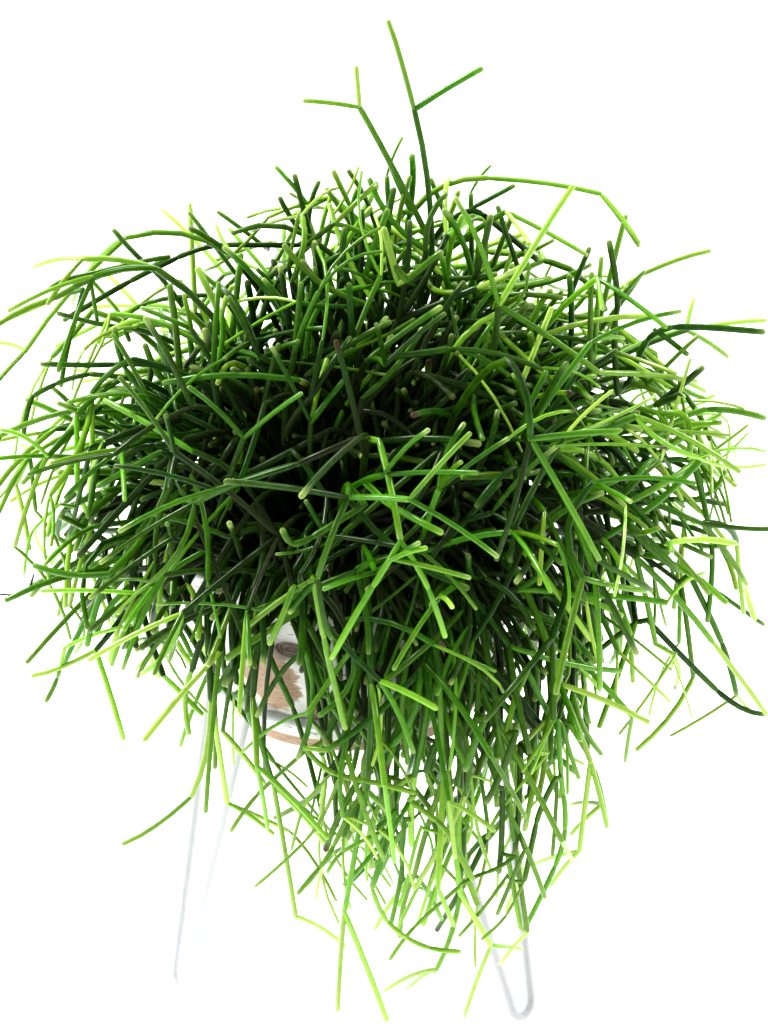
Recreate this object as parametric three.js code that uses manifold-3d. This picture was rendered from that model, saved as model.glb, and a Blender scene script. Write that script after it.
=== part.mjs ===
// Mistletoe cactus in a tapered pot, held by a wire stand on three hairpin legs.
// Millimetres, +Z up. The origin is on the floor, under the middle of the pot.
//
// The plant is a set of sprays. Each one is rooted in its own hole in the soil and grows by forking:
// a stem piece ends at a joint, and two or three younger and thinner pieces start there.
import * as THREE from 'three';
import { mergeVertices } from 'three/addons/utils/BufferGeometryUtils.js';
import Module from 'manifold-3d';

const wasm = await Module();
wasm.setup();

// ---------------------------------------------------------------- driving dimensions

const GAP = 0.3; // left between pieces that touch
const ROUND_SIDES = 36; // facets of the pot, the soil and the ring, which share them

const POT = { baseZ: 153, height: 92, baseRadius: 64, rimRadius: 91, wall: 5, floor: 7, edge: 2 };
const SOIL = { drop: 13, crown: 4, holeDepth: 14 }; // drop is from the rim to the soil at the wall
const WIRE = { radius: 2.25, sides: 8 };
const RING = { radius: 72 };
const LEG = {
  count: 3,
  turn: -11, // degrees, of the whole set of legs
  spread: 25, // degrees, from a leg's middle to each of its two ends at the ring
  footRadius: 105,
  bendRadius: 8, // of the hairpin at the foot
  flat: 0.6, // cut off under the bend, so that the foot has a flat spot
};
const STEM = {
  radius: 1.75, // of a grown stem
  side: 1.5, // of a side branch
  tip: 1.2, // of a young end piece
  corner: 1.12, // a faceted stem's corner radius over the round stem's radius
  clear: 0.6, // least space between two stems
  close: 12, // how far from its joint a branch may run close to its own spray
  steps: 2, // lengths that each stem piece is cut into
  tipSteps: 1,
  sides: 4,
  branchSides: 3,
  smooth: 0.35, // slivers finer than this are merged away where stems meet
  sunk: 2, // how far a branch starts inside the piece that bears it
};
const REACH = { x: 204, y: 190, low: 16 }; // furthest tips from the pot's axis, and the lowest
// The outline that the ruled stems stay in: a flat-topped dome on a cone that narrows downwards.
// The stems hang furthest, and the cone is widest, at the fringe, to the right of the front.
const CROWN = { z: 236, side: 204, rise: 170, square: 3, taper: 1.1, fringeTaper: 0.42 };
const FRINGE = { azimuth: -62, power: 2 };

const potTop = POT.baseZ + POT.height;
const soilTop = potTop - SOIL.drop;
const slope = (POT.rimRadius - POT.baseRadius) / POT.height;
const outerRadius = (z) => POT.baseRadius + slope * (z - POT.baseZ);
const innerRadius = (z) => outerRadius(z) - POT.wall;
// The ring touches the pot's slanted wall, so its height follows from its radius.
const ringZ =
  POT.baseZ +
  (RING.radius - POT.baseRadius - (WIRE.radius + GAP) * Math.hypot(1, slope)) / slope;

// ---------------------------------------------------------------- small helpers

const vec = (...at) => new THREE.Vector3(...at);
const UP = vec(0, 0, 1);
const polar = (radius, angle, z) => vec(radius * Math.cos(angle), radius * Math.sin(angle), z);
const mix = (a, b, t) => a + (b - a) * t;
const radians = (degrees) => (degrees * Math.PI) / 180;

// A small seeded generator of numbers from 0 to 1 (mulberry32).
function seeded(seed) {
  let state = seed >>> 0;
  return () => {
    state = (state + 0x6d2b79f5) >>> 0;
    let t = state;
    t = Math.imul(t ^ (t >>> 15), t | 1);
    t ^= t + Math.imul(t ^ (t >>> 7), t | 61);
    return ((t ^ (t >>> 14)) >>> 0) / 4294967296;
  };
}

function toSolid(geometry) {
  const bare = geometry.index ? geometry.toNonIndexed() : geometry.clone();
  bare.deleteAttribute('normal');
  bare.deleteAttribute('uv');
  const merged = mergeVertices(bare, 1e-4);
  return new wasm.Manifold(
    new wasm.Mesh({
      numProp: 3,
      vertProperties: merged.attributes.position.array,
      triVerts: new Uint32Array(merged.index.array),
    }),
  );
}

function toGeometry(solid) {
  const { vertProperties, triVerts } = solid.getMesh();
  return new THREE.BufferGeometry()
    .setAttribute('position', new THREE.BufferAttribute(new Float32Array(vertProperties), 3))
    .setIndex(new THREE.BufferAttribute(new Uint32Array(triVerts), 1));
}

// A path whose rings lie exactly at the given points.
class PointPath extends THREE.Curve {
  constructor(points) {
    super();
    this.points = points;
  }
  getPointAt(u) {
    const at = u * (this.points.length - 1);
    const i = Math.min(Math.floor(at), this.points.length - 2);
    return this.points[i].clone().lerp(this.points[i + 1], at - i);
  }
  getTangentAt(u) {
    const i = Math.round(u * (this.points.length - 1));
    const before = this.points[Math.max(i - 1, 0)];
    const after = this.points[Math.min(i + 1, this.points.length - 1)];
    return after.clone().sub(before).normalize();
  }
}

function tube(points, radius, sides) {
  const section = new THREE.Shape();
  for (let i = 0; i < sides; i++) {
    const angle = (2 * Math.PI * (i + 0.5)) / sides;
    const corner = [radius * Math.cos(angle), radius * Math.sin(angle)];
    if (i) section.lineTo(...corner);
    else section.moveTo(...corner);
  }
  section.closePath();
  const path = new PointPath(points);
  return new THREE.ExtrudeGeometry(section, { steps: points.length - 1, extrudePath: path });
}

// A solid of revolution about +Z, from a profile of [radius, z] that starts and ends on the axis.
function turned(profile) {
  const points = profile.map(([radius, z]) => new THREE.Vector2(radius, z));
  return new THREE.LatheGeometry(points, ROUND_SIDES).rotateX(Math.PI / 2);
}

// ---------------------------------------------------------------- pot, soil and stand

function makePot() {
  const { baseZ, baseRadius, rimRadius, wall, floor, edge } = POT;
  return turned([
    [0, baseZ],
    [baseRadius - edge, baseZ],
    [outerRadius(baseZ + edge), baseZ + edge],
    [outerRadius(potTop - edge), potTop - edge],
    [rimRadius - edge, potTop],
    [rimRadius - wall + edge / 2, potTop],
    [innerRadius(potTop - edge), potTop - edge],
    [innerRadius(baseZ + floor), baseZ + floor],
    [0, baseZ + floor],
  ]);
}

// The soil fills the pot and is slightly heaped. Each spray stands in a blind hole in it.
function makeSoil(roots) {
  const bottom = POT.baseZ + POT.floor + GAP;
  let soil = toSolid(
    turned([
      [0, bottom],
      [innerRadius(bottom) - GAP, bottom],
      [innerRadius(soilTop) - GAP, soilTop],
      [0.6 * innerRadius(soilTop), soilTop + 0.8 * SOIL.crown],
      [0, soilTop + SOIL.crown],
    ]),
  );
  const holeRadius = (STEM.radius * STEM.corner + GAP) / Math.cos(Math.PI / STEM.sides);
  for (const root of roots) {
    const foot = vec(root.x, root.y, root.z - GAP);
    const mouth = vec(root.x, root.y, soilTop + 2 * SOIL.crown);
    soil = soil.subtract(toSolid(tube([foot, mouth], holeRadius, STEM.sides)));
  }
  return toGeometry(soil);
}

function makeRing() {
  const ring = new THREE.TorusGeometry(RING.radius, WIRE.radius, WIRE.sides, ROUND_SIDES);
  return ring.translate(0, 0, ringZ);
}

// One hairpin leg: two straight rods from the ring, joined by a round bend at the foot.
function legLine(index) {
  const middle = radians(90 + LEG.turn + (360 / LEG.count) * index);
  const ends = [1, -1].map((side) =>
    polar(RING.radius, middle + side * radians(LEG.spread), ringZ),
  );
  const across = polar(1, middle + Math.PI / 2, 0);
  const foot = polar(LEG.footRadius, middle, WIRE.radius - LEG.flat);
  const middleTop = ends[0].clone().add(ends[1]).multiplyScalar(0.5);
  const rise = middleTop.sub(foot).normalize();
  const centre = foot.clone().addScaledVector(rise, LEG.bendRadius);
  const bend = [];
  for (let i = 0; i <= 6; i++) {
    const angle = (Math.PI * i) / 6;
    bend.push(
      centre
        .clone()
        .addScaledVector(across, LEG.bendRadius * Math.cos(angle))
        .addScaledVector(rise, -LEG.bendRadius * Math.sin(angle)),
    );
  }
  return [ends[0], ...bend, ends[1]];
}

// The ends are cut level under the ring, and the foot is cut level with the floor.
function makeLeg(index) {
  const leg = toSolid(tube(legLine(index), WIRE.radius, WIRE.sides));
  const topZ = ringZ - WIRE.radius - GAP;
  return toGeometry(leg.trimByPlane([0, 0, 1], 0).trimByPlane([0, 0, -1], -topZ));
}

// ---------------------------------------------------------------- how the plant grows

// A stem piece is a shallow arc from one joint to the next.
function arc(from, to, arch) {
  const bend = from.clone().lerp(to, 0.5).addScaledVector(UP, arch * from.distanceTo(to));
  return { from, bend, to };
}

function pointsOn(piece, steps) {
  const points = [];
  for (let i = 0; i <= steps; i++) {
    const t = i / steps;
    const s = 1 - t;
    points.push(
      piece.from
        .clone()
        .multiplyScalar(s * s)
        .addScaledVector(piece.bend, 2 * s * t)
        .addScaledVector(piece.to, t * t),
    );
  }
  return points;
}

// The least distance, squared, between the straight lines a-b and c-d.
function lineGap(a, b, c, d) {
  const u = b.clone().sub(a);
  const v = d.clone().sub(c);
  const w = a.clone().sub(c);
  const uu = u.dot(u);
  const uv = u.dot(v);
  const vv = v.dot(v);
  const uw = u.dot(w);
  const vw = v.dot(w);
  const cross = uu * vv - uv * uv;
  let s = cross > 1e-9 * uu * vv ? (uv * vw - vv * uw) / cross : 0;
  s = Math.min(Math.max(s, 0), 1);
  let t = (uv * s + vw) / vv;
  if (t < 0 || t > 1) {
    t = Math.min(Math.max(t, 0), 1);
    s = Math.min(Math.max((uv * t - uw) / uu, 0), 1);
  }
  return w.addScaledVector(u, s).addScaledVector(v, -t).lengthSq();
}

// What is already in place, as short straight lines with a radius and an owner.
const placed = [];

function place(points, radius, owner) {
  for (let i = 1; i < points.length; i++)
    placed.push({ a: points[i - 1], b: points[i], radius, owner });
}

// Whether a stem through this point stays off the pot, the soil and the ring.
function isFree(p, radius) {
  if (p.z < REACH.low || Math.abs(p.x) > REACH.x || Math.abs(p.y) > REACH.y) return false;
  const space = STEM.corner * radius + STEM.clear;
  const around = Math.hypot(p.x, p.y);
  if (Math.hypot(around - RING.radius, p.z - ringZ) < space + WIRE.radius) return false;
  if (p.z > potTop + space || p.z < POT.baseZ - space) return true;
  if (around > outerRadius(p.z) + space + GAP) return true;
  return p.z > soilTop + space && around < innerRadius(p.z) - space;
}

// 1 in the middle of the fringe and 0 on the other side of the pot.
function fringeAt(angle) {
  return Math.max(Math.cos(angle - radians(FRINGE.azimuth)), 0) ** FRINGE.power;
}

function inCrown(p) {
  const around = Math.hypot(p.x, p.y);
  const up = p.z - CROWN.z;
  const taper = mix(CROWN.taper, CROWN.fringeTaper, fringeAt(Math.atan2(p.y, p.x)));
  if (up < 0) return around < CROWN.side + taper * up;
  return (around / CROWN.side) ** CROWN.square + (up / CROWN.rise) ** CROWN.square < 1;
}

// A stem's own spray may touch it only where it leaves its joint.
function isClear(points, radius, owner) {
  const first = points[0].distanceTo(points[1]);
  const apart = points[0].clone().lerp(points[1], Math.min(STEM.close / first, 0.9));
  for (let i = 1; i < points.length; i++) {
    for (let k = 1; k <= 6; k++)
      if (!isFree(points[i - 1].clone().lerp(points[i], k / 6), radius)) return false;
    for (const other of placed) {
      const start = other.owner === owner && i === 1 ? apart : points[i - 1];
      const space = STEM.corner * (radius + other.radius) + STEM.clear;
      if (lineGap(start, points[i], other.a, other.b) < space * space) return false;
    }
  }
  return true;
}

// A unit vector at an angle to the given one, turned round it.
function leaning(direction, angle, turn) {
  const side = vec(-direction.y, direction.x, 0);
  if (side.lengthSq() < 1e-4) side.set(1, 0, 0);
  side.normalize();
  const top = direction.clone().cross(side);
  return direction
    .clone()
    .multiplyScalar(Math.cos(angle))
    .addScaledVector(side, Math.sin(angle) * Math.cos(turn))
    .addScaledVector(top, Math.sin(angle) * Math.sin(turn));
}

const GROWTH = {
  tries: 12,
  room: 24, // a branch looks for an end that is this far from all other joints and bends
  fork: [20, 64], // degrees between a branch and the piece that bears it
  sideLength: [34, 64],
  tipLength: [26, 50],
  droop: 0.22, // how far branches turn down, more of it low on the plant
  arch: [0.02, 0.12],
  pairs: 0.15, // share of joints that bear two side branches
  forks: 0.82, // share of side branches that fork again
};

function branch(from, direction, length, rand) {
  const low = Math.min(Math.max((330 - from.z) / 200, 0), 1);
  const aim = direction.clone().addScaledVector(UP, -GROWTH.droop * (0.3 + low));
  const to = from.clone().addScaledVector(aim.normalize(), length);
  return arc(from, to, mix(...GROWTH.arch, rand()));
}

// How far a point is from the nearest joint or bend, squared, and no more than is looked for.
function roomAt(point) {
  let room = GROWTH.room ** 2;
  for (const { b } of placed) room = Math.min(room, point.distanceToSquared(b));
  return room;
}

const stepsOf = (order) => (order > 1 ? STEM.tipSteps : STEM.steps);
const radiusOf = (order) => (order > 1 ? STEM.tip : STEM.side);

// Tries to grow a branch from a joint. Of those that are clear, the one with most room grows.
// With a bearer it goes on from the end of that stem, and otherwise it starts inside the joint.
function growBranch(spray, joint, direction, order, rand, bearer) {
  const [shortest, longest] = order > 1 ? GROWTH.tipLength : GROWTH.sideLength;
  const radius = bearer ? bearer.radius : radiusOf(order);
  let best = null;
  for (let attempt = 0; attempt < GROWTH.tries; attempt++) {
    const angle = radians(mix(...GROWTH.fork, rand()));
    const turn = 2 * Math.PI * rand();
    const length = mix(shortest, longest, rand());
    const piece = branch(joint, leaning(direction, angle, turn), length, rand);
    const room = roomAt(piece.to);
    if (!inCrown(piece.to) || (best && room <= best.room)) continue;
    const points = pointsOn(piece, stepsOf(order));
    if (isClear(points, radius, spray.owner)) best = { piece, points, room };
  }
  if (!best) return null;
  const { piece, points } = best;
  place(points, radius, spray.owner);
  const stem = bearer ?? { points, direction, radius };
  if (bearer) bearer.points.push(...points.slice(1));
  else spray.branches.push(stem);
  return { stem, joint: piece.to, direction: piece.to.clone().sub(piece.bend).normalize() };
}

// Two tips fork from the end of a stem, and the first one goes on from it.
function growTips(spray, stem, joint, direction, rand) {
  growBranch(spray, joint, direction, 2, rand, stem);
  growBranch(spray, joint, direction, 2, rand);
}

function growSides(spray, joint, direction, count, rand) {
  for (let i = 0; i < count; i++) {
    const grown = growBranch(spray, joint, direction, 1, rand);
    if (grown && rand() < GROWTH.forks)
      growTips(spray, grown.stem, grown.joint, grown.direction, rand);
  }
}

// ---------------------------------------------------------------- sprays set by hand

// The long sprays that give the plant its outline. `root` is where one stands in the soil and
// `joints` are what its main stem passes, tip last. `sides` are its set branches: the number of
// the joint that bears it and its end, then the ends of the tips that the branch bears.
// Other branches grow from the joints by rule, as on every spray. Young sprays are lighter.
const LEADERS = [
  // the tall upright sprig over the crown, with a forked branch on its left
  {
    root: [10, 12],
    joints: [[28, 12, 300], [44, 5, 383], [37, 5, 447], [26, 5, 488]],
    sides: [[2, [12, 5, 449], [-14, 5, 453], [11, 5, 468]], [3, [69, 5, 465]]],
  },
  // the long arch to the right at the top
  {
    root: [26, 34],
    joints: [[32, 32, 306], [34, 26, 392], [72, 20, 411], [125, 18, 402]],
  },
  // the young fork on the right of the crown
  {
    young: true,
    root: [44, -20],
    joints: [[58, -40, 300], [70, -60, 371], [51, -62, 421]],
    sides: [[2, [103, -60, 424]], [2, [115, -60, 338]]],
  },
  // long arches to the left
  {
    root: [-18, 24],
    joints: [[-24, 28, 312], [-50, 30, 374], [-102, 30, 386], [-155, 28, 332]],
  },
  {
    root: [-34, 4],
    joints: [[-44, 2, 322], [-86, 0, 378], [-134, -2, 366], [-203, -4, 338]],
  },
  {
    root: [-48, -14],
    joints: [[-64, -18, 300], [-114, -20, 318], [-163, -20, 305], [-201, -20, 282]],
  },
  {
    root: [-50, -32],
    joints: [[-68, -50, 296], [-93, -65, 252], [-120, -72, 216], [-151, -72, 204]],
  },
  {
    young: true,
    root: [-40, -46],
    joints: [[-64, -80, 268], [-66, -97, 200], [-78, -99, 152], [-112, -99, 128]],
  },
  // to the right
  {
    root: [40, 16],
    joints: [[72, 18, 308], [124, 20, 332], [145, 20, 361], [179, 20, 372]],
    sides: [[2, [137, 16, 392]]],
  },
  {
    root: [60, 2],
    joints: [[86, 0, 296], [123, 0, 322], [166, 0, 339], [203, 0, 342]],
  },
  {
    root: [60, -18],
    joints: [[88, -34, 284], [116, -58, 286], [163, -62, 264], [199, -60, 259]],
  },
  {
    root: [50, -36],
    joints: [[80, -64, 282], [132, -66, 250], [170, -62, 203], [198, -60, 162]],
  },
  // the fringe that hangs over the front of the pot, below its base
  {
    young: true,
    root: [4, -60],
    joints: [[6, -104, 276], [7, -130, 222], [3, -132, 170], [-9, -130, 106], [-14, -130, 52]],
    sides: [[4, [9, -131, 46]]],
  },
  {
    young: true,
    root: [22, -58],
    joints: [[30, -100, 270], [37, -122, 220], [38, -122, 168], [45, -120, 106], [33, -120, 66]],
  },
  {
    young: true,
    root: [40, -52],
    joints: [[70, -90, 264], [92, -110, 208], [106, -112, 169], [114, -112, 134]],
  },
  {
    young: true,
    root: [-24, -56],
    joints: [[-34, -98, 262], [-46, -114, 210], [-39, -114, 165], [-32, -112, 93]],
  },
  {
    young: true,
    root: [32, -44],
    joints: [[52, -98, 256], [63, -124, 196], [70, -122, 135], [76, -122, 86]],
  },
  // the sprays nearest to the front of the crown
  {
    root: [30, -28],
    joints: [[48, -78, 326], [68, -126, 366], [76, -140, 336], [61, -142, 283]],
    sides: [[3, [113, -140, 338]], [3, [105, -142, 281]]],
  },
  {
    root: [2, -32],
    joints: [[8, -86, 312], [6, -130, 336], [-20, -140, 329], [-55, -140, 319]],
  },
  {
    young: true,
    root: [-8, -46],
    joints: [[-2, -100, 300], [0, -142, 314], [-14, -150, 282], [-9, -150, 253]],
    sides: [[3, [-27, -150, 266]]],
  },
];

// ---------------------------------------------------------------- sprays set by rule

const CANOPY = {
  sprays: 32,
  widest: 140, // degrees from straight up, of the lowest spray
  topReach: 138,
  sideReach: 172,
  lowReach: 96,
  fringeReach: 156, // the low reach at the fringe
  square: 0.75, // below 1 makes the outline squarer than an ellipse
  toBack: 0.5, // how much closer the ruled sprays stand at the back, where few are set by hand
  rootRing: 66, // furthest root from the axis
  rootSpace: 7.5, // least distance between two roots
  jointEvery: 56,
  wobble: 8,
  tries: 80,
};
const GOLDEN_ANGLE = Math.PI * (3 - Math.sqrt(5));
const mouthZ = soilTop + SOIL.crown + 2; // where the stems leave their holes

function cubic(p, t) {
  const s = 1 - t;
  return p[0]
    .clone()
    .multiplyScalar(s * s * s)
    .addScaledVector(p[1], 3 * s * s * t)
    .addScaledVector(p[2], 3 * s * t * t)
    .addScaledVector(p[3], t * t * t);
}

// Spreads even angles so that more of them point to the back.
function turnToBack(even) {
  let angle = even;
  for (let i = 0; i < 12; i++) angle = even + CANOPY.toBack * Math.cos(angle);
  return angle;
}

// The joints of a ruled main stem: up out of the soil, over the rim and down to its tip.
function ruledJoints(index, rand) {
  const share = (index + 0.5) / CANOPY.sprays;
  const tilt = Math.acos(1 - share * (1 - Math.cos(radians(CANOPY.widest))));
  const level = tilt / radians(CANOPY.widest);
  const angle = turnToBack(index * GOLDEN_ANGLE) + mix(-0.25, 0.25, rand());
  const down = Math.max(-Math.cos(tilt), 0);
  const upward = Math.max(Math.cos(tilt), 0);
  const reach = mix(0.86, 1, rand());
  const lowReach = mix(CANOPY.lowReach, CANOPY.fringeReach, fringeAt(angle));
  const wide = reach * CANOPY.sideReach * Math.pow(Math.sin(tilt), CANOPY.square);
  const rise =
    reach * CANOPY.topReach * Math.pow(upward, CANOPY.square) -
    reach * lowReach * Math.pow(down, CANOPY.square);
  const foot = CANOPY.rootRing * Math.pow(level, 0.8) * mix(0.8, 1, rand());
  const mouth = polar(foot, angle + mix(-0.2, 0.2, rand()), mouthZ);
  const tip = polar(wide, angle, CROWN.z + rise);
  const outward = polar(1, angle, 0);
  const shoulder = mouth
    .clone()
    .addScaledVector(UP, mix(60, 95, upward))
    .addScaledVector(outward, 42 * level);
  const hang = tip
    .clone()
    .addScaledVector(UP, 20 + 120 * down)
    .addScaledVector(outward, -46 * Math.sin(tilt) + 60 * down);
  const path = [mouth, shoulder, hang, tip];
  let length = 0;
  for (let i = 0; i < 8; i++) length += cubic(path, i / 8).distanceTo(cubic(path, (i + 1) / 8));
  const count = Math.max(3, Math.round(length / CANOPY.jointEvery));
  const joints = [mouth];
  for (let i = 1; i <= count; i++) {
    const stray = vec(rand() - 0.5, rand() - 0.5, rand() - 0.5);
    joints.push(cubic(path, i / count).addScaledVector(stray, CANOPY.wobble));
  }
  return joints;
}

// The points of a main stem, from the foot of its hole, that bends smoothly at each joint.
function mainPoints(joints) {
  const points = [joints[0].clone().setZ(soilTop - SOIL.holeDepth), joints[0]];
  for (let i = 1; i < joints.length; i++) {
    const before = i > 1 ? joints[i - 2] : points[0];
    const after = joints[Math.min(i + 1, joints.length - 1)];
    const swell = joints[i - 1].clone().add(joints[i]).sub(before).sub(after);
    const bend = joints[i - 1].clone().lerp(joints[i], 0.5).addScaledVector(swell, 0.12);
    points.push(...pointsOn({ from: joints[i - 1], bend, to: joints[i] }, STEM.steps).slice(1));
  }
  return points;
}

const sprays = [];

function rootIsFree(root) {
  return sprays.every(({ points }) =>
    Math.hypot(root.x - points[0].x, root.y - points[0].y) > CANOPY.rootSpace);
}

// Keeps a main stem if it is clear of all that is in place.
function plantMain(joints) {
  const owner = `spray_${String(sprays.length + 1).padStart(2, '0')}`;
  const points = mainPoints(joints);
  if (!rootIsFree(points[0]) || !isClear(points.slice(1), STEM.radius, owner)) return null;
  place(points, STEM.radius, owner);
  const spray = { owner, joints, points, radius: STEM.radius, branches: [], bearing: new Set() };
  sprays.push(spray);
  return spray;
}

function plantLeader({ root, joints, sides = [], young = false }, index) {
  const line = [vec(...root, mouthZ), ...joints.map((joint) => vec(...joint))];
  const spray = plantMain(line);
  if (!spray) throw new Error(`leader ${index + 1} is not clear`);
  spray.young = young;
  for (const [number, end, ...tips] of sides) {
    const joint = line[number];
    const direction = joint.clone().sub(line[number - 1]).normalize();
    setBranch(spray, joint, direction, vec(...end), 1);
    const onward = vec(...end).sub(joint).normalize();
    for (const tip of tips) setBranch(spray, vec(...end), onward, vec(...tip), 2);
    spray.bearing.add(number);
  }
}

function setBranch(spray, from, direction, to, order) {
  const radius = radiusOf(order);
  const points = pointsOn(arc(from, to, 0.04), stepsOf(order));
  if (!isClear(points, radius, spray.owner)) throw new Error(`${spray.owner}: branch not clear`);
  place(points, radius, spray.owner);
  spray.branches.push({ points, direction, radius });
}

function plantRuled(index) {
  const rand = seeded(1000 + 77 * index);
  for (let attempt = 0; attempt < CANOPY.tries; attempt++)
    if (plantMain(ruledJoints(index, rand))) return;
  console.log('no room for ruled spray', index);
}

function addBranches(spray, index) {
  const rand = seeded(5000 + 131 * index);
  const { joints } = spray;
  const last = joints.length - 1;
  for (let i = 1; i <= last; i++) {
    if (spray.bearing.has(i)) continue;
    const direction = joints[i].clone().sub(joints[i - 1]).normalize();
    if (i < last) growSides(spray, joints[i], direction, rand() < GROWTH.pairs ? 2 : 1, rand);
    else if (spray.bearing.size === 0) growTips(spray, spray, joints[i], direction, rand);
  }
}

// Merging slivers can leave a crumb loose, which is dropped.
function largestBody(solid, name) {
  const bodies = solid.decompose().sort((a, b) => b.volume() - a.volume());
  if (bodies.length > 1 && bodies[1].volume() > 1) throw new Error(`${name} is in two pieces`);
  return bodies[0];
}

function makeSpray(spray) {
  let solid = toSolid(tube(spray.points, spray.radius * STEM.corner, STEM.sides));
  for (const { points, direction, radius } of spray.branches) {
    const sunk = points[0].clone().addScaledVector(direction, -STEM.sunk);
    const line = [sunk, ...points.slice(1)];
    solid = solid.add(toSolid(tube(line, radius * STEM.corner, STEM.branchSides)));
  }
  return toGeometry(largestBody(solid.simplify(STEM.smooth), spray.owner));
}

// ---------------------------------------------------------------- assembly

const paint = (colour, roughness, metalness = 0) =>
  new THREE.MeshStandardMaterial({ color: colour, roughness, metalness });
const MATERIALS = {
  stem: paint(0x2f6b1c, 0.5),
  youngStem: paint(0x79b52a, 0.5),
  bark: paint(0xd9cfc4, 0.8),
  soil: paint(0x2c211a, 0.95),
  wire: paint(0xeeeeec, 0.4, 0.1),
};

for (let i = 0; i < LEG.count; i++) place(legLine(i), WIRE.radius, 'stand');
LEADERS.forEach(plantLeader);
for (let i = 0; i < CANOPY.sprays; i++) plantRuled(i);
sprays.forEach(addBranches);

const plant = new THREE.Group();
function add(name, geometry, material) {
  const mesh = new THREE.Mesh(geometry, material);
  mesh.name = name;
  plant.add(mesh);
}
add('pot', makePot(), MATERIALS.bark);
add('soil', makeSoil(sprays.map((spray) => spray.points[0])), MATERIALS.soil);
add('stand_ring', makeRing(), MATERIALS.wire);
for (let i = 0; i < LEG.count; i++) add(`stand_leg_${i + 1}`, makeLeg(i), MATERIALS.wire);
for (const spray of sprays)
  add(spray.owner, makeSpray(spray), spray.young ? MATERIALS.youngStem : MATERIALS.stem);
export default plant;
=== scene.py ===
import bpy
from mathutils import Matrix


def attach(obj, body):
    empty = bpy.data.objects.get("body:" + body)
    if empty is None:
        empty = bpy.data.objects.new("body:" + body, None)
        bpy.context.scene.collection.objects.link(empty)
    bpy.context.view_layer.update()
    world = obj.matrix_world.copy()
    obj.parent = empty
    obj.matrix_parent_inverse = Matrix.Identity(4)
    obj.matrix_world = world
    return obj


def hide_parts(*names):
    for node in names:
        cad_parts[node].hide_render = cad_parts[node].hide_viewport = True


bl_info = {
    "name": "Potted Mistletoe Cactus",
    "version": (1, 0, 0),
    "blender": (4, 5, 0),
    "location": "View3D > Sidebar > Cactus",
    "description": "Builds a mistletoe cactus in a bark-look pot on a hairpin wire stand",
    "category": "Add Mesh",
}

import math
from collections import namedtuple

import bmesh
import bpy
import numpy as np
from mathutils import Matrix, Vector, noise

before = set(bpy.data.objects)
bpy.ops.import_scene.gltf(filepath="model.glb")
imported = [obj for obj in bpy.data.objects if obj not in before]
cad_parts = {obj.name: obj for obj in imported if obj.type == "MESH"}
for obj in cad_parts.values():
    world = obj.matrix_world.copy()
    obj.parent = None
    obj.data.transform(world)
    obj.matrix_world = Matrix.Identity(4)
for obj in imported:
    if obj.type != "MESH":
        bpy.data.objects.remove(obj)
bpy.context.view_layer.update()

MM = 0.001

# ---------------- sizes of the construction
# Millimetres. The fine stems grow by the same rule as the plain ones in the frame, from the
# same sizes and the same seeds, so each one lies where the frame has it.

GAP = 0.3
POT = {"base_z": 153, "height": 92, "base_radius": 64, "rim_radius": 91, "wall": 5, "floor": 7}
SOIL = {"drop": 13, "crown": 4, "hole_depth": 14}
WIRE_RADIUS = 2.25
RING_RADIUS = 72
LEG = {"count": 3, "turn": -11, "spread": 25, "foot_radius": 105, "bend_radius": 8, "flat": 0.6}
STEM = {"radius": 1.75, "side": 1.5, "tip": 1.2, "corner": 1.12, "clear": 0.6, "steps": 2}
TIP_STEPS = 1
CLOSE = 12
REACH = {"x": 204, "y": 190, "low": 16}
CROWN = {"z": 236, "side": 204, "rise": 170, "square": 3, "taper": 1.1, "fringe_taper": 0.42}
FRINGE = {"azimuth": -62, "power": 2}

POT_TOP = POT["base_z"] + POT["height"]
SOIL_TOP = POT_TOP - SOIL["drop"]
SLOPE = (POT["rim_radius"] - POT["base_radius"]) / POT["height"]
MOUTH_Z = SOIL_TOP + SOIL["crown"] + 2
UP = np.array([0.0, 0.0, 1.0])


def outer_radius(z):
    return POT["base_radius"] + SLOPE * (z - POT["base_z"])


def inner_radius(z):
    return outer_radius(z) - POT["wall"]


RING_Z = (
    POT["base_z"]
    + (RING_RADIUS - POT["base_radius"] - (WIRE_RADIUS + GAP) * math.hypot(1, SLOPE)) / SLOPE
)


# ---------------- small helpers


def mix(a, b, t):
    return a + (b - a) * t


def at(*point):
    return np.array(point, dtype=float)


def polar(radius, angle, z):
    return at(radius * math.cos(angle), radius * math.sin(angle), z)


def length_of(vector):
    return math.sqrt(vector @ vector)


def unit(vector):
    return vector / length_of(vector)


def clamp(value):
    return min(max(value, 0), 1)


class Seeded:
    """A small seeded generator of numbers from 0 to 1 (mulberry32), as the construction has."""

    WORD = 0xFFFFFFFF

    def __init__(self, seed):
        self.state = seed & self.WORD

    def __call__(self):
        self.state = (self.state + 0x6D2B79F5) & self.WORD
        t = self.state
        t = ((t ^ (t >> 15)) * (t | 1)) & self.WORD
        t ^= (t + (((t ^ (t >> 7)) * (t | 61)) & self.WORD)) & self.WORD
        return (t ^ (t >> 14)) / (self.WORD + 1)


# For each kind of draw, its first seed and the step from one stem or spray to the next.
SEEDS = {
    "main": (1000, 77), "branches": (5000, 131), "between": (20000, 91), "sprouts": (20000, 13),
    "looks": (40000, 57), "looks_between": (40500, 57),
}


def seeded(kind, number):
    first, step = SEEDS[kind]
    return Seeded(first + step * number)


# ---------------- how the plant grows

# A stem piece is a shallow arc from one joint to the next.
Arc = namedtuple("Arc", "start bend end")


def arched(start, end, arch):
    return Arc(start, (start + end) * 0.5 + UP * arch * length_of(end - start), end)


def onward(arc):
    """The direction in which an arc ends."""
    return unit(arc.end - arc.bend)


def point_on(arc, t):
    s = 1 - t
    return arc.start * s * s + arc.bend * 2 * s * t + arc.end * t * t


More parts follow.
